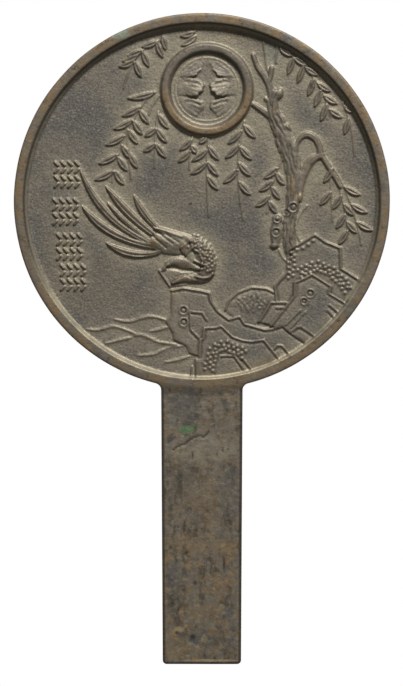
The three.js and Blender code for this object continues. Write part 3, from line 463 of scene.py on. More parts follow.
class ReliefMap:
    """Heights in millimetres on an even raster between two corners."""

    def __init__(self, low, high, pitch=0.125):
        self.pitch = pitch
        self.low = low
        self.x_axis = np.arange(low[0], high[0] + pitch / 2, pitch)
        self.y_axis = np.arange(low[1], high[1] + pitch / 2, pitch)
        self.height = np.zeros((len(self.y_axis), len(self.x_axis)))

    def window(self, points, margin):
        """The part of the raster round some points, with its x and y."""
        points = np.array(points, float)[:, :2]
        low, high = points.min(axis=0) - margin, points.max(axis=0) + margin
        rows = slice(*np.searchsorted(self.y_axis, (low[1], high[1])))
        columns = slice(*np.searchsorted(self.x_axis, (low[0], high[0])))
        x, y = np.meshgrid(self.x_axis[columns], self.y_axis[rows])
        return (rows, columns), x, y

    def line_places(self, x, y, points):
        """For each cell: distance to the line, side of it, and share of the line at the nearest point."""
        best = np.full(x.shape, 1e9)
        side = np.zeros(x.shape)
        share = np.zeros(x.shape)
        count = len(points) - 1
        for i in range(count):
            ax, ay = points[i][:2]
            bx, by = points[i + 1][:2]
            along_x, along_y = bx - ax, by - ay
            squared = max(along_x**2 + along_y**2, 1e-12)
            t = np.clip(((x - ax) * along_x + (y - ay) * along_y) / squared, 0, 1)
            gap_x, gap_y = x - ax - t * along_x, y - ay - t * along_y
            distance = np.hypot(gap_x, gap_y)
            nearer = distance < best
            best = np.where(nearer, distance, best)
            side = np.where(nearer, np.sign(along_x * gap_y - along_y * gap_x), side)
            share = np.where(nearer, (i + t) / count, share)
        return best, side, share

    def ridge(self, points, widths, rise, form="roof", add=False, carve=None):
        """Raises a ridge along points. Widths is one width, or one at each point.

        The form goes from a sharp roof over round and full to flat. Carve gives the depth of its grooves.
        """
        points = np.array(points, float)
        widths = np.broadcast_to(np.asarray(widths, float), (len(points),))
        spans, x, y = self.window(points, widths.max() / 2 + 0.5)
        distance, side, share = self.line_places(x, y, points)
        half = np.interp(share, np.linspace(0, 1, len(points)), widths) / 2
        across = distance / np.maximum(half, 1e-6)
        power = {"roof": 1, "round": 2, "full": 3.2, "flat": 6}[form]
        lift = np.clip(1 - across**power, 0, 1)
        lift = rise * (lift if form == "roof" else np.sqrt(lift)) * np.clip(half / 0.3, 0, 1)
        if carve is not None:
            lift = np.where(across < 1, np.maximum(lift - carve(across * side, share), 0), 0)
        if add:
            self.height[spans] += lift
        else:
            self.height[spans] = np.maximum(self.height[spans], lift)

    def ring(self, centre, radius, width, rise):
        """Adds a ring-shaped ridge, or a groove where the rise is negative."""
        turn = np.linspace(0, 2 * math.pi, 8 + int(5 * radius))
        line = np.stack([centre[0] + radius * np.cos(turn), centre[1] + radius * np.sin(turn)], axis=1)
        self.ridge(line, width, rise, add=True)

    def reach(self, outline):
        """The raster's part round an outline, its x and y, and how far each cell lies inside."""
        closed = np.array(list(outline) + [outline[0]], float)
        spans, x, y = self.window(closed, 1.5)
        distance = self.line_places(x, y, closed)[0]
        inside = np.zeros(x.shape, bool)
        for (ax, ay), (bx, by) in zip(closed[:-1], closed[1:]):
            crosses = (ay > y) != (by > y)
            inside ^= crosses & (x < (bx - ax) * (y - ay) / (by - ay if by != ay else 1e-9) + ax)
        return spans, x, y, np.where(inside, distance, -distance)

    def rock(self, outline, level, lipped):
        """Raises a flat-topped rock whose first points carry a raised lip with a hollow inside it."""
        spans, x, y, reach = self.reach(outline)
        lip = self.line_places(x, y, outline[:lipped])[0]
        hollow = 0.2 * bell(lip, 0.95 * LIP_WIDTH, 0.5 * LIP_WIDTH)
        flat = level - hollow - 0.06 * smooth_step(0.3, 1.6, reach)
        there = self.height[spans]
        there = np.where(reach > -0.3, np.maximum(there * (reach < 0.3), 0), there)
        self.height[spans] = np.maximum(there, flat * smooth_step(-0.25, 0.1, reach))
        self.ridge(outline[:lipped], LIP_WIDTH, level + LIP_RISE, form="round")

    def spray(self, outline, level, spring):
        """Raises a scalloped leaf of the roundel, with veins that fan out from where it springs."""
        spans, x, y, reach = self.reach(outline)
        fan = np.cos(26 * np.arctan2(y - spring[1], x - spring[0]))
        near = smooth_step(1, 3, np.hypot(x - spring[0], y - spring[1]))
        ups = np.array(outline)[:, 1]
        ramp = 0.35 + 0.65 * smooth_step(ups.max(), ups.min() + 0.5, y)
        ramp *= 0.22 + 0.78 * smooth_step(8.4, 3.4, np.hypot(x - ROUNDEL[0], y - ROUNDEL[1]))
        crinkle = 0.05 * waver(x, y, 0.9, 1.0) - 0.1 * np.clip(-fan, 0, 1) * near
        lift = (level * ramp + crinkle) * smooth_step(-0.15, 0.3, reach + 0.1 * fan * near)
        self.height[spans] = np.maximum(self.height[spans], lift)

    def beads(self, places, radius, rise):
        """Adds round beads on whatever is there."""
        for place in places:
            spans, x, y = self.window([place], radius + 0.2)
            near = np.hypot(x - place[0], y - place[1]) / radius
            self.height[spans] += rise * np.sqrt(np.clip(1 - near**2, 0, 1))

    def oval(self, centre, long, wide, degrees, rise, add=False):
        """Raises a domed oval with its long half-axis turned by the given degrees."""
        spans, x, y = self.window([centre], max(long, wide) + 0.5)
        angle = math.radians(degrees)
        u = ((x - centre[0]) * math.cos(angle) + (y - centre[1]) * math.sin(angle)) / long
        v = (-(x - centre[0]) * math.sin(angle) + (y - centre[1]) * math.cos(angle)) / wide
        dome = rise * np.sqrt(np.clip(1 - u**2 - v**2, 0, 1))
        self.height[spans] = self.height[spans] + dome if add else np.maximum(self.height[spans], dome)

    def blurred(self, size, values=None):
        """The heights, or other values of the raster, softened over a size in millimetres."""
        values = self.height if values is None else values
        keep = [np.exp(-2 * (math.pi * size * np.fft.fftfreq(n, self.pitch)) ** 2) for n in values.shape]
        return np.real(np.fft.ifft2(np.fft.fft2(values) * keep[0][:, None] * keep[1][None, :]))

    def sample(self, values, x, y):
        """Values of the raster at any places, between its cells."""
        column = np.clip((x - self.low[0]) / self.pitch, 0, len(self.x_axis) - 1.001)
        row = np.clip((y - self.low[1]) / self.pitch, 0, len(self.y_axis) - 1.001)
        i, j = column.astype(int), row.astype(int)
        s, t = column - i, row - j
        low = values[j, i] * (1 - s) + values[j, i + 1] * s
        high = values[j + 1, i] * (1 - s) + values[j + 1, i + 1] * s
        return low * (1 - t) + high * t


def softened(points):
    """A line through the given points with its corners a little rounded."""
    return rounded_line(points, max(12, 5 * len(points))) if len(points) > 2 else np.array(points, float)


def leaf_vein(across, share):
    """The hollow along a leaf's middle."""
    return 0.42 * bell(across, 0.05, 0.3) * (share > 0.1) * (share < 0.88)


def leaf(relief, x, y, degrees, long):
    """One willow leaf from its base, bowed down a little and sharp at both ends."""
    angle = math.radians(degrees)
    tip = (x + long * math.cos(angle), y + long * math.sin(angle))
    bend = ((x + tip[0]) / 2, (y + tip[1]) / 2 - 0.14 * long)
    points = along_curve((x, y), bend, tip, 15)
    share = np.linspace(0, 1, 15)
    widths = LEAF_WIDTH * np.sin(math.pi * share**0.8) + 0.05
    relief.ridge(points, widths, LEAF_RISE, form="full", carve=leaf_vein)


def willow(relief):
    """The twigs and their leaves."""
    for top, bend, tip, sides in TWIGS:
        relief.ridge(along_curve(top, bend, tip, 24), 0.8, 0.42)
        for long, degrees, shares in sides:
            for share in shares:
                x, y = curve_point(top, bend, tip, share)
                leaf(relief, x, y, degrees, long)
    for x, y, degrees, long in LOOSE_LEAVES:
        leaf(relief, x, y, degrees, long)
    for top, bend, tip in FINE_STEMS:
        relief.ridge(along_curve(top, bend, tip, 12), 0.85, 0.42)


def bark(across, share):
    """Grooves that run along the trunk and waver: each has its middle, swing, pace and start."""
    grooves = (
        (-0.62, 0.12, 17, 0), (-0.28, 0.16, 13, 1), (0.08, 0.14, 19, 4), (0.38, 0.12, 23, 5),
        (0.7, 0.1, 21, 2),
    )
    total = np.zeros_like(across)
    for middle, swing, pace, start in grooves:
        line = middle + swing * np.sin(pace * share + start)
        depth = 0.2 + 0.14 * np.sin(2.3 * pace * share + 3 * start)
        total += depth * bell(across, line, 0.1)
    return total + 0.07 * np.clip(np.sin(47 * share + 4 * across), 0, 1)


def split_branch(across, share):
    """One groove along a branch's shaded side."""
    return 0.14 * bell(across, -0.1, 0.3) * np.sin(math.pi * share)


def tree(relief):
    """The trunk with its bark, branches, knots and the hollow burl on its left."""
    trunk = rounded_line(TRUNK, 90)
    steps = np.arange(90)
    trunk[:, 0] += 0.16 * np.sin(1.1 * steps) * np.sin(0.31 * steps + 1)
    gnarled = trunk[:, 2] * (1.02 + 0.08 * np.sin(0.8 * steps) * np.sin(0.37 * steps))
    relief.ridge(trunk, gnarled, 1.1, form="full", carve=bark)
    for points in BRANCHES:
        branch = rounded_line(points, 30)
        relief.ridge(branch, branch[:, 2], 0.8, form="full", carve=split_branch)
    for x, y, long, wide, degrees, rise in KNOTS:
        relief.oval((x, y), long, wide, degrees, rise)
    for x, y, radius in SWIRLS:
        relief.ring((x, y), radius, 0.75, -0.4)
        relief.ring((x, y), 1.55 * radius, 0.75, 0.25)


def rocks(relief):
    """The rocks in their layers, with their lines, small rings, beads and moss."""
    for level, lipped, outline in ROCKS:
        relief.rock(outline, level * ROCK_LAYER, lipped)
    for points in ROCK_LINES:
        relief.ridge(points, 0.8, 0.34, add=True)
        relief.ridge([(x - 0.35, y - 0.7) for x, y in points], 0.8, -0.2, add=True)
    for x, y, radius in SMALL_RINGS:
        relief.ring((x, y), radius, 0.8, 0.34)
        relief.ring((x, y), 0.6 * radius, 0.7, -0.3)
    for rows, pitch, points in BEAD_BANDS:
        relief.beads(band_places(rows, pitch, points), 0.6, 0.42)
    x, y, radius, bumps = MOSS
    for k in range(bumps):
        angle, reach = 2.4 * k, radius * math.sqrt((k + 0.5) / bumps)
        bump = (x + 1.35 * reach * math.cos(angle), y + 0.75 * reach * math.sin(angle))
        relief.oval(bump, 0.7 + 0.2 * math.sin(3 * k), 0.45, 40 * k, 0.22, add=True)


def band_places(rows, pitch, points):
    """Staggered places in rows along a line, not quite even."""
    rough = rounded_line(points, 60)
    length = np.hypot(*np.diff(rough[:, :2], axis=0).T).sum()
    count = max(2, int(length / pitch))
    line = rounded_line(points, 2 * count + 1)[:, :2]
    way = np.gradient(line, axis=0)
    way /= np.hypot(way[:, 0], way[:, 1])[:, None]
    places = []
    for row in range(rows):
        off = (row - (rows - 1) / 2) * pitch * 0.86
        for i in range(row % 2, 2 * count + 1, 2):
            shift = off + 0.16 * pitch * math.sin(7.3 * i + 3.1 * row)
            places.append((line[i, 0] - way[i, 1] * shift, line[i, 1] + way[i, 0] * shift))
    return places


def water(relief):
    """Waves: a sharp crest with a shallow hollow under it."""
    for points in WAVES:
        line = rounded_line(points, 40)[:, :2]
        taper = 0.25 + 0.75 * np.sin(math.pi * np.linspace(0.06, 0.94, 40))
        relief.ridge(line - (0, 1.4), 2.4 * taper, -0.18, form="round", add=True)
        relief.ridge(line - (0, 0.2), 2.0 * taper, 0.38, add=True)


def feather_veins(across, share):
    """A groove beside a tail feather's middle rib, deeper towards the root."""
    return (0.45 - 0.25 * share) * bell(across, 0.25, 0.2) * (share < 0.9)


def plumage(across, share):
    """Short slanting marks over the bird's body."""
    return 0.1 * np.clip(np.sin(34 * share + 5 * across) * np.cos(9 * across - 12 * share), 0, 1)


def bird(relief):
    """The long-tailed bird: feathers, body, wing lines and beaded breast."""
    for root, bend, tip, width in FEATHERS:
        share = np.linspace(0, 1, 30)
        widths = width * np.minimum(1, 0.5 + 0.8 * share) * (1 - share**4) + 0.05
        relief.ridge(along_curve(root, bend, tip, 30), widths, 0.85, form="flat", carve=feather_veins)
    for share, points in BODY_MOUNDS:
        body = rounded_line(points, 24)
        relief.ridge(body, body[:, 2], 1.15 * share, form="round", carve=plumage)
    for rise, width, points in WING_LINES:
        relief.ridge(softened(points), width, rise, add=True)
    rows, pitch, points = BREAST_BEADS
    relief.beads(band_places(rows, pitch, points), 0.54, 0.4)


def roundel(relief):
    """The raised ring, the fine circle in it and the two mirrored sprays of three scalloped leaves."""
    middle_x, middle_y = ROUNDEL
    spans, x, y = relief.window([ROUNDEL], RING_SECTION[0][-1] + 0.5)
    reach = np.hypot(x - middle_x, y - middle_y)
    ring = np.interp(reach, *RING_SECTION)
    relief.height[spans] = np.where(reach < RING_SECTION[0][-1], ring, relief.height[spans])
    for side in (1, -1):
        for edge, (first, last), spring, fold in SPRAYS:
            turns = np.radians(np.linspace(first, last, 9))
            outline = edge + [(SPRAY_REACH * math.cos(a), SPRAY_REACH * math.sin(a)) for a in turns]
            outline = [(middle_x + side * across, middle_y + up) for across, up in outline]
            relief.spray(outline, 1.25, (middle_x + side * spring[0], middle_y + spring[1]))
            if fold:
                folded = [(middle_x + side * across, middle_y + up) for across, up in fold]
                relief.ridge(softened(folded), 1.0, -0.26, add=True)
    relief.ring(ROUNDEL, FINE_CIRCLE, 0.6, 0.22)


def strokes(relief):
    """Blocks of short parallel strokes in rows that slant to and fro."""
    for centre_x, centre_y in STROKE_BLOCKS:
        for row in range(STROKE_ROWS):
            for i in range(STROKES_IN_ROW):
                x = centre_x + (i - (STROKES_IN_ROW - 1) / 2) * STROKE_PITCH
                y = centre_y + (row - (STROKE_ROWS - 1) / 2) * ROW_PITCH
                slant = -0.5 if row % 2 else 0.5
                relief.ridge([(x - slant, y - 0.55), (x + slant, y + 0.55)], 0.85, 0.6, form="full")


def press_picture():
    """The whole picture as a relief map."""
    relief = ReliefMap((-60, -60), (60, 60))
    water(relief)
    tree(relief)
    willow(relief)
    rocks(relief)
    bird(relief)
    roundel(relief)
    strokes(relief)
    return relief


def mark_handle():
    """The handle's cracks, each with a low ridge below it, and its nicks as a relief map."""
    relief = ReliefMap((-15, -150), (15, -58))
    for depth, width, points in CRACKS:
        relief.ridge(softened(points), width, -depth, add=True)
        below = [(x - 0.2, y - 0.75) for x, y in points]
        relief.ridge(softened(below), width, 0.3 * depth, form="round", add=True)
    for x, y, long, wide, degrees in NICKS:
        relief.oval((x, y), long, wide, degrees, -0.16, add=True)
    return relief


def waver(x, y, size, seed):
    """Smooth unevenness between -1 and 1 with bumps of about the given size."""
    total = np.zeros_like(x)
    for k in range(6):
        turn = 2.4 * k + seed
        pace = (1 + 0.37 * k) * 2 * math.pi / (size * 2.2)
        total += np.sin(pace * (x * math.cos(turn) + y * math.sin(turn)) + 1.7 * k * seed)
    return total / 6


def spread_disc(bm, rings, radius):
    """A square of faces spread into a disc, so that its rings are true circles."""
    bmesh.ops.create_grid(bm, x_segments=2 * rings, y_segments=2 * rings, size=1.0)
    for vert in bm.verts:
        u, v = vert.co.x, vert.co.y
        if abs(u) >= abs(v):
            reach, turn = u, math.pi / 4 * (v / u if u else 0)
            vert.co.x, vert.co.y = radius * reach * math.cos(turn), radius * reach * math.sin(turn)
        else:
            reach, turn = v, math.pi / 4 * (u / v)
            vert.co.x, vert.co.y = radius * reach * math.sin(turn), radius * reach * math.cos(turn)


def handle_side(root_x, disc_radius, root_half, end_half, end_y, corner):
    """The handle's right side from the disc to its end: fillet, straight and round corner.

    The fillet touches the disc at root_x and the straight at root_half.
    """
    fillet = disc_radius * (root_x - root_half) / (disc_radius - root_x)
    centre_x = root_half + fillet
    centre_y = -math.sqrt((disc_radius + fillet) ** 2 - centre_x**2)
    meet = math.atan2(-centre_y, -centre_x)
    side = []
    for a in np.linspace(meet, math.pi, 11)[1:]:
        side.append((centre_x + fillet * math.cos(a), centre_y + fillet * math.sin(a)))
    for t in np.linspace(0, 1, 151)[1:]:
        side.append((root_half + (end_half - root_half) * t, centre_y + (end_y + corner - centre_y) * t))
    for a in np.linspace(0, -math.pi / 2, 5)[1:]:
        side.append((end_half - corner + corner * math.cos(a), end_y + corner + corner * math.sin(a)))
    return side


def draw_handle(bm, disc_radius, root_half, end_half, end_y, corner):
    """Draws the disc's near edge out into the handle, cuts it into rows and sets each row in its place."""
    across = bm.verts.layers.float.new("across")
    row = bm.verts.layers.float.new("row")
    arc = [v for v in bm.verts if v.is_boundary and v.co.y < 0 and abs(v.co.x) <= root_half + FILLET_REACH]
    root_x = max(v.co.x for v in arc)
    for vert in arc:
        vert[across] = vert.co.x / root_x
    side = handle_side(root_x, disc_radius, root_half, end_half, end_y, corner)
    chosen = set(arc)
    edge = [e for e in bm.edges if e.is_boundary and e.verts[0] in chosen and e.verts[1] in chosen]
    cut_strip(bm, edge, row, len(side))
    root_y = -math.sqrt(disc_radius**2 - root_x**2)
    fade_end = root_y - CURVED_ROWS
    for vert in bm.verts:
        if vert[row] > 0:
            side_x, side_y = side[round(vert[row] * len(side)) - 1]
            fade = max(0.0, (side_y - fade_end) / (root_y - fade_end))
            sag = -math.sqrt(disc_radius**2 - (vert[across] * root_x) ** 2) - root_y
            vert.co.x = vert[across] * side_x
            vert.co.y = side_y + sag * fade


def cut_strip(bm, edge, layer, rows):
    """Extrudes an edge once and cuts the new strip into rows. The layer then runs from 0 to 1 over it."""
    made = bmesh.ops.extrude_edge_only(bm, edges=edge)["geom"]
    fresh = [g for g in made if isinstance(g, bmesh.types.BMVert)]
    for vert in fresh:
        vert[layer] = 1.0
    known = set(fresh)
    rails = [e for vert in fresh for e in vert.link_edges if e.other_vert(vert) not in known]
    bmesh.ops.subdivide_edges(bm, edges=rails, cuts=rows - 1, use_grid_fill=True)


def roll_edge(bm, layers, steps):
    """Carries the sheet's edge outwards through steps of (out, fall), and returns where it ends."""
    out_x, out_y, fall, turn = layers
    edge = [e for e in bm.edges if e.is_boundary]
    for vert in {v for e in edge for v in e.verts}:
        leaving = next(loop for loop in vert.link_loops if loop.edge.is_boundary)
        coming = next(loop for loop in vert.link_loops if loop.link_loop_prev.edge.is_boundary)
        tangent = leaving.link_loop_next.vert.co - coming.link_loop_prev.vert.co
        outward = tangent.normalized().cross((0, 0, 1))
        vert[out_x], vert[out_y] = outward.x, outward.y
    cut_strip(bm, edge, turn, len(steps))
    for vert in bm.verts:
        if vert[turn] > 0:
            out, vert[fall] = steps[round(vert[turn] * len(steps)) - 1]
            vert.co.x += vert[out_x] * out
            vert.co.y += vert[out_y] * out
    return [e for e in bm.edges if e.is_boundary]


def cast_body(sizes):
    """The casting before its relief: still flat, with a fall layer that says how far down points go."""
    radius = sizes.disc_diameter / 2
    edge_round = sizes.edge_round
    bm = bmesh.new()
    spread_disc(bm, sizes.rings, radius - edge_round)
    root_half, end_half = sizes.handle_root_width / 2 - edge_round, sizes.handle_end_width / 2 - edge_round
    end_y = -radius - sizes.handle_length + edge_round
    draw_handle(bm, radius - edge_round, root_half, end_half, end_y, END_CORNER)
    layers = [bm.verts.layers.float.new(name) for name in ("out_x", "out_y", "fall", "turn")]
    turns = np.radians((22, 45, 68, 90))
    steps = [(edge_round * math.sin(a), edge_round * (1 - math.cos(a))) for a in turns]
    steps += [(edge_round, WALL + share) for share in (0.33, 0.67)]
    for a in np.radians((0, 30, 60, 90)):
        steps.append((edge_round * math.cos(a), FOOT + edge_round * (1 - math.sin(a))))
    last = roll_edge(bm, layers, steps)
    back = bmesh.ops.contextual_create(bm, geom=last)["faces"]
    for face in back:
        face.material_index = 1
    bmesh.ops.recalc_face_normals(bm, faces=bm.faces)
    for face in bm.faces:
        face.smooth = True
    return bm


def ground_height(radius, y, disc_radius, sizes):
    """Height of the plain casting: field, the rim's wall, rim top, then handle.

    The wall has its ledge at the far side of the disc and grows sheer towards the handle.
    """
    field, rim, handle = sizes.field_thickness / MM, sizes.rim_height / MM, sizes.handle_thickness / MM
    from_wall_top = radius - (disc_radius - RIM_TOP_WIDTH)
    climb = np.interp(from_wall_top, *RIM_WALL)
    sheer = smooth_step(-1.5, -0.25, from_wall_top)
    climb += (sheer - climb) * smooth_step(-16, -40, y)
    height = field + (rim - field) * climb
    return height - (rim - handle) * smooth_step(disc_radius - 1.2, disc_radius + 2.4, radius)


def finish_shares(picture, soft, x, y, inside, disc_radius, marked):
    """How raised, dusty and worn each point is, and how much soot and painted shade it takes, each as values
    that the finish follows.
    """
    radius = np.hypot(x, y)
    from_roundel = np.hypot(x - ROUNDEL[0], y - ROUNDEL[1])
    wide = picture.blurred(2.4)
    halo = picture.blurred(2.0, (np.abs(picture.height - wide) > 0.14).astype(float))
    raised = smooth_step(0.04, 0.26, picture.sample(soft - wide, x, y) * inside)
    raised *= smooth_step(10, 11.6, from_roundel)
    raised += smooth_step(disc_radius - 3.1, disc_radius - 2.8, radius)
    dusty = picture.sample(halo, x, y) * 1.6 * inside * (1 - smooth_step(0.5, 1.0, raised))
    dusty *= 0.45 + 0.55 * smooth_step(9, 10.5, from_roundel)
    dusty += bell(radius, disc_radius - 3.7, 0.55)
    crest = picture.sample(soft - picture.blurred(1.0), x, y) * inside
    worn = crest / 0.6 * (0.4 + 0.6 * smooth_step(15, 16.5, from_roundel))
    worn = np.maximum(worn, 0.35 * bell(radius, disc_radius - 2.7, 0.45) * smooth_step(-44, -20, y))
    # Soot and painted shade in the relief's creases: hollows on raised parts darken, partly as dirt and
    # partly as shade painted in.
    grooves = picture.sample(np.where(soft > 0.2, picture.blurred(0.45) - soft, 0), x, y) * inside
    grooves *= 1 - bell(from_roundel, 15.1, 0.5)
    # A dark band on the rim wall's upper part: partly a dirt line, partly painted shade where the rim's own
    # shadow falls on the far side.
    shade_and_dirt_under_rim = bell(radius, disc_radius - 3.1, 0.4) * smooth_step(-36, -8, y)
    soot_and_painted_shade = np.maximum.reduce([grooves / 0.12, shade_and_dirt_under_rim, -marked / 0.14])
    return {"raised": raised, "dusty": dusty, "worn": worn, "soot_and_painted_shade": soot_and_painted_shade}


def shape_casting(mesh, sizes):
    """Raises the picture, rim and handle, and stores what the finish follows with the points."""
    count = len(mesh.vertices)
    places = np.empty(count * 3)
    mesh.vertices.foreach_get("co", places)
    places = places.reshape(-1, 3)
    fall = np.empty(count)
    mesh.attributes["fall"].data.foreach_get("value", fall)
    x, y = places[:, 0] / MM, places[:, 1] / MM
    radius = np.hypot(x, y)
    disc_radius = sizes.disc_diameter / 2 / MM
    picture, marks = press_picture(), mark_handle()
    soft = picture.blurred(0.13)
    inside = smooth_step(disc_radius - 2.6, disc_radius - 3.4, radius)
    on_handle = smooth_step(disc_radius - 0.5, disc_radius + 1, radius) * (y < 0)
    marked = marks.sample(marks.blurred(0.18), x, y) * on_handle
    raised = picture.sample(soft, x, y) * sizes.relief * inside
    ground = ground_height(radius, y, disc_radius, sizes)
    uneven = 0.035 * waver(x, y, 9, 1.0) + 0.03 * waver(x, y, 2.6, 2.0)
    top = np.maximum(ground, sizes.field_thickness / MM + raised)
    on_slope = (radius > disc_radius - 5.2) & (raised > 0)
    top = np.where(on_slope, np.maximum(top, ground + 0.35 * raised), top) + uneven + marked
    edge = sizes.edge_round / MM
    wall_top = top - edge
    height = np.where(fall < WALL / 2, top - fall / MM, wall_top + (edge - wall_top) * (fall - WALL))
    height = np.where(fall >= (WALL + FOOT) / 2, edge - (fall - FOOT) / MM, height)
    places[:, 2] = height * MM
    ripple = 0.05 * waver(x, y, 14, 3.0) * smooth_step(disc_radius - 2, disc_radius, radius)
    places[:, 0] += x / np.maximum(radius, 1) * ripple * MM
    places[:, 1] += y / np.maximum(radius, 1) * ripple * MM
    mesh.vertices.foreach_set("co", places.ravel())
    for name, values in finish_shares(picture, soft, x, y, inside, disc_radius, marked).items():
        layer = mesh.attributes.new(name, "FLOAT", "POINT")
        layer.data.foreach_set("value", np.clip(values, 0, 1).astype(np.float32))
    for name in ("across", "row", "out_x", "out_y", "fall", "turn"):
        mesh.attributes.remove(mesh.attributes[name])
    mesh.update()


def thin_out(piece, most):
    """Merges the smallest faces of the relief side until at most the given number of triangles is left."""
    triangles = sum(len(p.vertices) - 2 for p in piece.data.polygons)
    if triangles <= most:
        return
    lowest = 1.2 * MM
    upper = piece.vertex_groups.new(name="relief side")
    upper.add([v.index for v in piece.data.vertices if v.co.z > lowest], 1.0, "REPLACE")
    thinner = piece.modifiers.new("Thin out", "DECIMATE")
    thinner.ratio = most / triangles
    thinner.vertex_group = upper.name
    fixed = bpy.data.meshes.new_from_object(piece.evaluated_get(bpy.context.evaluated_depsgraph_get()))
    piece.modifiers.clear()
    fixed.name = piece.data.name
    piece.data = fixed


class Wire:
    """A shader socket on which Python's operators build Math nodes."""

    def __init__(self, graph, socket):
        self.graph = graph
        self.socket = socket

    def maths(self, operation, *values, clamp=False):
        """A Math node on the given values."""
        return self.graph.node("Math", {"operation": operation, "use_clamp": clamp}, dict(enumerate(values)))

    def __add__(self, other):
        return self.maths("ADD", self, other)

    def __sub__(self, other):
        return self.maths("SUBTRACT", self, other)

    def __mul__(self, other):
        return self.maths("MULTIPLY", self, other)

    def __truediv__(self, other):
        return self.maths("DIVIDE", self, other)

    def __rsub__(self, other):
        return self.maths("SUBTRACT", other, self)

    __radd__ = __add__
    __rmul__ = __mul__

    def clamped(self):
        """The value kept between 0 and 1."""
        return self.maths("ADD", self, 0.0, clamp=True)

    def absolute(self):
        """The value without its sign."""
        return self.maths("ABSOLUTE", self)

    def either(self, other):
        """The greater of two values."""
        return self.maths("MAXIMUM", self, other)

    def step(self, low, high):
        """0 below low, 1 above high, smooth between. Low may be above high for a falling step."""
        values = {"Value": self, "From Min": low, "From Max": high, "To Min": 0.0, "To Max": 1.0}
        return self.graph.node("MapRange", {"interpolation_type": "SMOOTHSTEP"}, values)


class Graph:
    """A material's nodes. Every node comes from one method."""

    def __init__(self, name):
        self.material = bpy.data.materials.new(name)
        self.material.use_nodes = True
        self.tree = self.material.node_tree
        self.tree.nodes.clear()

    def node(self, kind, settings=None, sockets=None, output=0):
        """Adds a node, with its settings first and then the values or links of its sockets."""
        made = self.tree.nodes.new("ShaderNode" + kind)
        for name, value in (settings or {}).items():
            setattr(made, name, value)
        for key, value in (sockets or {}).items():
            if isinstance(value, Wire):
                self.tree.links.new(value.socket, made.inputs[key])
            else:
                made.inputs[key].default_value = value
        return Wire(self, made.outputs[output]) if made.outputs else None

    def find_place(self):
        """Adds the place on the piece, in metres, and its three coordinates."""
        self.place = self.node("TexCoord", output=3)
        split = [self.node("SeparateXYZ", None, {0: self.place}, output) for output in range(3)]
        self.east, self.north, self.up = split

    def blend(self, colour, *layers):
        """A colour with layers of (colour, share) mixed over it one by one."""
        for over, share in layers:
            under, over = [c if isinstance(c, Wire) else (*c, 1.0) for c in (colour, over)]
            colour = self.node("Mix", {"data_type": "RGBA"}, {0: share, 6: under, 7: over}, output=2)
        return colour

    def noise(self, place, size, detail=4.0, roughness=0.55):
        """Noise from 0 to 1 with features of about the given size in metres."""
        sockets = {"Vector": place, "Scale": 1 / size, "Detail": detail, "Roughness": roughness}
        return self.node("TexNoise", None, sockets)

    def stored(self, name):
        """A value that the casting's points carry."""
        return self.node("Attribute", {"attribute_name": name}, output=2)

    def shader(self, sockets):
        """Ends the material in one surface with the given sockets."""
        self.node("OutputMaterial", None, {"Surface": self.node("BsdfPrincipled", None, sockets)})
        return self.material


def with_patches(graph, colour, patches, colours, ragged):
    """A colour with the table's patches over it, as ovals whose edges the ragged noise breaks up."""
    for x, y, wide, high, soft, name, strength in patches:
        east = (graph.east - x * MM) / (wide * MM)
        north = (graph.north - y * MM) / (high * MM)
        reach = (east * east + north * north) + (ragged - 0.5) * 2.4
        colour = graph.blend(colour, (getattr(colours, name), reach.step(1 + soft, 1 - soft) * strength))
    return colour


def ground_finish(graph, colours, clouds, patches, grain, dusty):
    """The field's ground: olive grey with slate clouds, coloured patches, pale dust and dark grains."""
    colour = graph.blend(colours.tarnish, (colours.slate, clouds.step(0.42, 0.62) * 0.75))
    colour = with_patches(graph, colour, GROUND_PATCHES, colours, patches)
    return graph.blend(
        colour,
        (colours.dust, (dusty * 0.85).clamped()),
        (colours.dust, grain.step(0.5, 0.72) * 0.55),
        (colours.soot_and_shade, grain.step(0.5, 0.26) * 0.42),
    )


def raised_finish(graph, colours, clouds, patches, mottle, gold):
    """The darker skin of what is raised, browner on the roundel's near side and on the rim."""
    colour = graph.blend(
        colours.umber,
        (colours.slate, clouds.step(0.5, 0.68) * 0.5),
        (colours.brown, patches.step(0.54, 0.7) * 0.4),
    )
    colour = with_patches(graph, colour, SKIN_PATCHES, colours, mottle)
    east, north = graph.east - ROUNDEL[0] * MM, graph.north - ROUNDEL[1] * MM
    reach = east * east + north * north
    on_ring = reach.step(0.012**2, 0.0124**2) * reach.step(0.015**2, 0.0146**2) * north.step(0.004, -0.004)
    on_rim = (graph.east * graph.east + graph.north * graph.north).step(0.0568**2, 0.0576**2)
    return graph.blend(
        colour,
        (colours.brown, on_ring * patches.step(0.25, 0.5) * 0.85),
        (colours.brown, on_rim * patches.step(0.4, 0.58) * 0.8),
        (colours.slate, on_rim * patches.step(0.42, 0.3) * 0.6),
        (colours.soot_and_shade, mottle.step(0.45, 0.28) * 0.55),
        (colours.dust, mottle.step(0.56, 0.72) * 0.3),
        (colours.worn, gold * 0.3),
    )


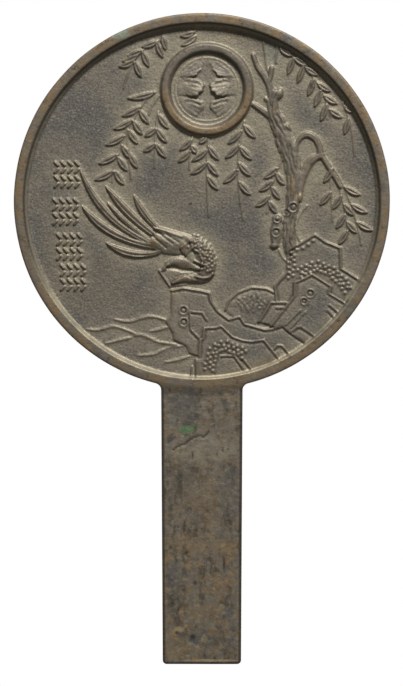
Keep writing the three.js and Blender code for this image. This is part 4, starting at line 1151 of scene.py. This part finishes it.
def handle_finish(graph, colours, patches, soot_and_painted_shade):
    """The handle: long streaks, bands of dust near the disc, rust further down, a painted shade line round
    its edges.
    """
    stretched = graph.node("Mapping", None, {"Vector": graph.place, "Scale": (1.0, 0.3, 1.0)})
    level = graph.node("Mapping", None, {"Vector": graph.place, "Scale": (0.3, 1.0, 1.0)})
    streaks = graph.noise(stretched, 0.0026, detail=6, roughness=0.68)
    bands = graph.noise(level, 0.0016, detail=4, roughness=0.6) * graph.north.step(-0.084, -0.07)
    flecks = graph.noise(graph.place, 0.0016, detail=4, roughness=0.62)
    rust = graph.noise(graph.place, 0.0034, detail=7, roughness=0.66)
    low = graph.north.step(-0.098, -0.112) * 0.5 + graph.north.step(-0.118, -0.14) * 0.3 + 0.2
    colour = graph.blend(
        colours.tarnish,
        (colours.umber, streaks.step(0.36, 0.52)),
        (colours.brown, 0.1),
        (colours.soot_and_shade, streaks.step(0.49, 0.62) * 0.55),
        (colours.dust, bands.step(0.5, 0.66) * 0.6),
        (colours.slate, patches.step(0.48, 0.34) * 0.8),
        (colours.brown, (rust.step(0.48, 0.6) * (low + 0.2)).clamped()),
    )
    colour = with_patches(graph, colour, HANDLE_PATCHES, colours, patches)
    # Painted shade: a dark line along the handle's rounded sides and end, where the edges turn away from the
    # light.
    edge = graph.east.absolute() - graph.north * 0.0057
    sides = edge.step(0.0122, 0.0127) * edge.step(0.0142, 0.0137)
    outline = sides.either(graph.north.step(-0.1469, -0.1473)) * flecks.step(0.2, 0.45)
    return graph.blend(
        colour,
        (colours.soot_and_shade, flecks.step(0.47, 0.28) * 0.4),
        (colours.dust, flecks.step(0.5, 0.68) * 0.4),
        (colours.worn, rust.step(0.56, 0.7) * low * 0.5),
        # Painted shade along the handle's edges.
        (colours.soot_and_shade, outline * graph.up.step(0.0022, 0.003) * 0.75),
        (colours.soot_and_shade, (soot_and_painted_shade * 0.85).clamped()),
    )


def tarnished_bronze(colours):
    """The old bronze: ground, what is raised, a painted highlight on the rim's lit wall, soot and painted
    shade, and the handle.
    """
    graph = Graph("tarnished_bronze")
    graph.find_place()
    raised, dusty, worn, soot_and_painted_shade = (graph.stored(name) for name in ("raised", "dusty", "worn", "soot_and_painted_shade"))
    clouds = graph.noise(graph.place, 0.016, detail=3)
    patches = graph.noise(graph.place, 0.0055, detail=5, roughness=0.62)
    mottle = graph.noise(graph.place, 0.0018, detail=4, roughness=0.6)
    grain = graph.noise(graph.place, 0.00062, detail=2, roughness=0.5)
    gold = (worn * mottle.step(0.32, 0.6)).clamped()
    ground = ground_finish(graph, colours, clouds, patches, grain, dusty)
    skin = raised_finish(graph, colours, clouds, patches, mottle, gold)
    reach = graph.east * graph.east + graph.north * graph.north
    # A painted highlight: pale polish colour on the lower part of the rim's inner wall, where the key light
    # falls.
    lip = reach.step(0.0553**2, 0.0561**2) * reach.step(0.0575**2, 0.0567**2)
    lip *= graph.north.step(-0.01, -0.034) * (patches.step(0.35, 0.6) * 0.35 + 0.2)
    handle = handle_finish(graph, colours, patches, soot_and_painted_shade)
    colour = graph.blend(
        ground,
        (skin, raised),
        # Painted highlight on the rim's lit near wall.
        (colours.polish_and_highlight, lip),
        # Soot and painted shade in creases and on the rim wall's upper part.
        (colours.soot_and_shade, (soot_and_painted_shade * 0.7).clamped()),
        (handle, graph.north.step(-0.0585, -0.0605)),
    )
    rough = (0.5 + mottle * 0.18 - gold * 0.12).clamped()
    relief = grain * (0.42 - raised * 0.25) + mottle * 0.8
    bump = graph.node("Bump", None, {"Strength": 0.8, "Distance": 0.00026, "Height": relief})
    return graph.shader({"Base Color": colour, "Roughness": rough, "Metallic": 0.55, "Normal": bump})


def mirror_face(colours):
    """The polished side, dulled by time: fine wiping scratches and spots of tarnish."""
    graph = Graph("dulled_mirror_face")
    graph.find_place()
    turned = {"Vector": graph.place, "Rotation": (0, 0, 0.5), "Scale": (1.0, 14.0, 1.0)}
    wiped = graph.noise(graph.node("Mapping", None, turned), 0.004, detail=6)
    spots = graph.noise(graph.place, 0.006, detail=6, roughness=0.62)
    haze = graph.noise(graph.place, 0.035, detail=3)
    tarnish = (spots.step(0.48, 0.64) * 0.7 + haze.step(0.35, 0.62) * 0.4 + 0.25).clamped()
    colour = graph.blend(colours.polish_and_highlight, (colours.tarnish, tarnish))
    rough = 0.26 + wiped * 0.14 + tarnish * 0.25
    bump = graph.node("Bump", None, {"Strength": 0.3, "Distance": 0.00004, "Height": wiped + spots})
    return graph.shader({"Base Color": colour, "Roughness": rough, "Metallic": 0.9, "Normal": bump})


class MIRROR_OT_cast(bpy.types.Operator):
    """Casts the disc, rim, picture and handle as one piece and gives it its finish"""

    bl_idname = "mirror.cast"
    bl_label = "Cast the mirror"

    def execute(self, context):
        sizes = context.scene.mirror_sizes
        bm = cast_body(sizes)
        mesh = bpy.data.meshes.new("hand_mirror")
        bm.to_mesh(mesh)
        bm.free()
        mesh.materials.append(tarnished_bronze(context.scene.bronze_colours))
        mesh.materials.append(mirror_face(context.scene.bronze_colours))
        shape_casting(mesh, sizes)
        piece = bpy.data.objects.new("hand_mirror", mesh)
        context.collection.objects.link(piece)
        thin_out(piece, sizes.most_triangles)
        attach(piece, "root")
        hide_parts("mirror")
        return {"FINISHED"}


class MIRROR_OT_studio(bpy.types.Operator):
    """Sets up the pale floor, the key light, the room's dim glow and the camera"""

    bl_idname = "mirror.studio"
    bl_label = "Set up the studio"

    def execute(self, context):
        studio = context.scene.mirror_studio
        bm = bmesh.new()
        bmesh.ops.create_grid(bm, x_segments=1, y_segments=1, size=3.0)
        bmesh.ops.translate(bm, vec=(0, 0, -0.0002), verts=bm.verts)
        mesh = bpy.data.meshes.new("floor")
        bm.to_mesh(mesh)
        bm.free()
        floor = bpy.data.objects.new("floor", mesh)
        context.collection.objects.link(floor)
        mesh.materials.append(Graph("pale_floor").shader({
            "Base Color": (0.0, 0.0, 0.0, 1.0), "Emission Color": (*studio.floor, 1.0),
            "Emission Strength": 1.0, "Specular IOR Level": 0.0,
        }))
        floor.visible_diffuse = False
        floor.visible_glossy = False

        lamp = bpy.data.lights.new("key", "AREA")
        lamp.energy = studio.key_power
        lamp.size = 0.3
        key = bpy.data.objects.new("key", lamp)
        reach = 1.6
        level = reach * math.cos(studio.key_height)
        key.location.x = level * math.sin(studio.key_turn)
        key.location.y = level * math.cos(studio.key_turn)
        key.location.z = reach * math.sin(studio.key_height)
        key.rotation_euler = (math.pi / 2 - studio.key_height, 0, math.pi - studio.key_turn)
        context.collection.objects.link(key)

        world = bpy.data.worlds.new("room")
        world.use_nodes = True
        world.node_tree.nodes["Background"].inputs["Strength"].default_value = studio.surround
        world.node_tree.nodes["Background"].inputs["Color"].default_value = (1.0, 1.0, 1.0, 1.0)
        context.scene.world = world
        context.scene.view_settings.view_transform = "Standard"

        lens = bpy.data.cameras.new("camera")
        lens.sensor_width = 36.0
        lens.lens = lens.sensor_width * studio.camera_distance / studio.view_height
        lens.clip_start, lens.clip_end = 0.01, 20.0
        camera = bpy.data.objects.new("camera", lens)
        camera.location = (*studio.view_centre, studio.camera_distance)
        context.collection.objects.link(camera)
        context.scene.camera = camera
        return {"FINISHED"}


class MIRROR_PT_panel(bpy.types.Panel):
    """Lists the mirror's steps in the 3D view's sidebar"""

    bl_idname = "MIRROR_PT_panel"
    bl_label = "Bronze Hand Mirror"
    bl_space_type = "VIEW_3D"
    bl_region_type = "UI"
    bl_category = "Mirror"

    def draw(self, context):
        scene = context.scene
        for group in (scene.mirror_sizes, scene.bronze_colours, scene.mirror_studio):
            box = self.layout.box()
            for name in group.__annotations__:
                box.prop(group, name)
        for operator in (MIRROR_OT_cast, MIRROR_OT_studio):
            self.layout.operator(operator.bl_idname)


CLASSES = (MirrorSizes, BronzeColours, MirrorStudio, MIRROR_OT_cast, MIRROR_OT_studio, MIRROR_PT_panel)


def register():
    for cls in CLASSES:
        bpy.utils.register_class(cls)
    bpy.types.Scene.mirror_sizes = bpy.props.PointerProperty(type=MirrorSizes)
    bpy.types.Scene.bronze_colours = bpy.props.PointerProperty(type=BronzeColours)
    bpy.types.Scene.mirror_studio = bpy.props.PointerProperty(type=MirrorStudio)


def unregister():
    del bpy.types.Scene.mirror_sizes
    del bpy.types.Scene.bronze_colours
    del bpy.types.Scene.mirror_studio
    for cls in reversed(CLASSES):
        bpy.utils.unregister_class(cls)


def main():
    register()
    bpy.ops.mirror.cast()
    bpy.ops.mirror.studio()


if __name__ == "__main__":
    main()
